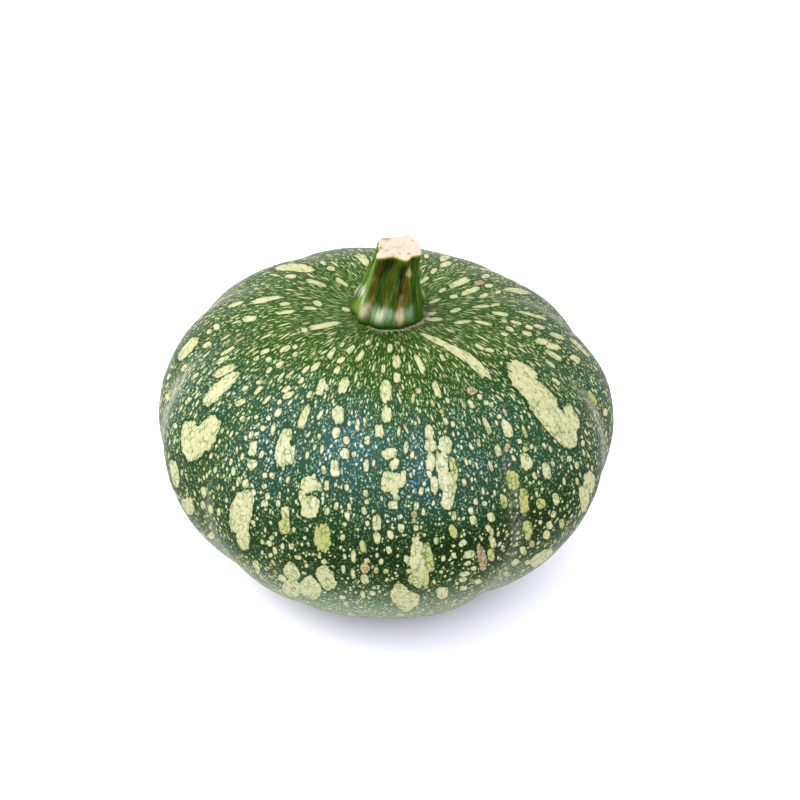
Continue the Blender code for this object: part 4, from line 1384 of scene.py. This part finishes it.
def make_camera():
    """The camera at the picture's angle and framing."""
    data = bpy.data.cameras.new("picture_camera")
    data.sensor_width = SENSOR_MM
    data.lens = FOCAL_LENGTH_MM
    data.shift_x = (PICTURE_PIXELS / 2.0 - RING_PIXEL[0]) / PICTURE_PIXELS
    data.shift_y = (RING_PIXEL[1] - PICTURE_PIXELS / 2.0) / PICTURE_PIXELS
    camera = bpy.data.objects.new("picture_camera", data)
    camera.location = view_point()
    camera.rotation_euler = (math.radians(90.0 - VIEW_ELEVATION), 0.0, 0.0)
    bpy.context.scene.collection.objects.link(camera)
    bpy.context.scene.camera = camera


class SQUASH_OT_add_fruit(bpy.types.Operator):
    """Add the speckled, ribbed fruit"""

    bl_idname = "squash.add_fruit"
    bl_label = "Add Fruit"

    def execute(self, context):
        make_fruit(context.scene.squash_fruit)
        return {"FINISHED"}


class SQUASH_OT_add_stem(bpy.types.Operator):
    """Add the ridged stem with its cut top"""

    bl_idname = "squash.add_stem"
    bl_label = "Add Stem"

    def execute(self, context):
        make_stem(context.scene.squash_stem)
        return {"FINISHED"}


class SQUASH_OT_add_stage(bpy.types.Operator):
    """Add the floor, the lights and the camera"""

    bl_idname = "squash.add_stage"
    bl_label = "Add Stage"

    def execute(self, context):
        make_floor(context.scene.squash_stage)
        make_lights(context.scene.squash_stage)
        make_camera()
        context.scene.view_settings.view_transform = "Standard"
        return {"FINISHED"}


class SQUASH_PT_panel(bpy.types.Panel):
    """Lists the squash's pieces and its stage"""

    bl_idname = "SQUASH_PT_panel"
    bl_label = "Kabocha Squash"
    bl_space_type = "VIEW_3D"
    bl_region_type = "UI"
    bl_category = "Squash"

    def draw(self, context):
        parts = (
            (SQUASH_OT_add_fruit, context.scene.squash_fruit),
            (SQUASH_OT_add_stem, context.scene.squash_stem),
            (SQUASH_OT_add_stage, context.scene.squash_stage),
        )
        for operator, settings in parts:
            box = self.layout.box()
            for name in settings.__annotations__:
                box.prop(settings, name)
            box.operator(operator.bl_idname)


CLASSES = (
    SquashFruitSettings,
    SquashStemSettings,
    SquashStageSettings,
    SQUASH_OT_add_fruit,
    SQUASH_OT_add_stem,
    SQUASH_OT_add_stage,
    SQUASH_PT_panel,
)


def register():
    """Make the settings and the operators known."""
    for item in CLASSES:
        bpy.utils.register_class(item)
    bpy.types.Scene.squash_fruit = PointerProperty(type=SquashFruitSettings)
    bpy.types.Scene.squash_stem = PointerProperty(type=SquashStemSettings)
    bpy.types.Scene.squash_stage = PointerProperty(type=SquashStageSettings)


def unregister():
    """Take them away again."""
    del bpy.types.Scene.squash_stage
    del bpy.types.Scene.squash_stem
    del bpy.types.Scene.squash_fruit
    for item in reversed(CLASSES):
        bpy.utils.unregister_class(item)


def main():
    """Build the squash and its stage."""
    register()
    bpy.ops.squash.add_fruit()
    bpy.ops.squash.add_stem()
    bpy.ops.squash.add_stage()


if __name__ == "__main__":
    main()
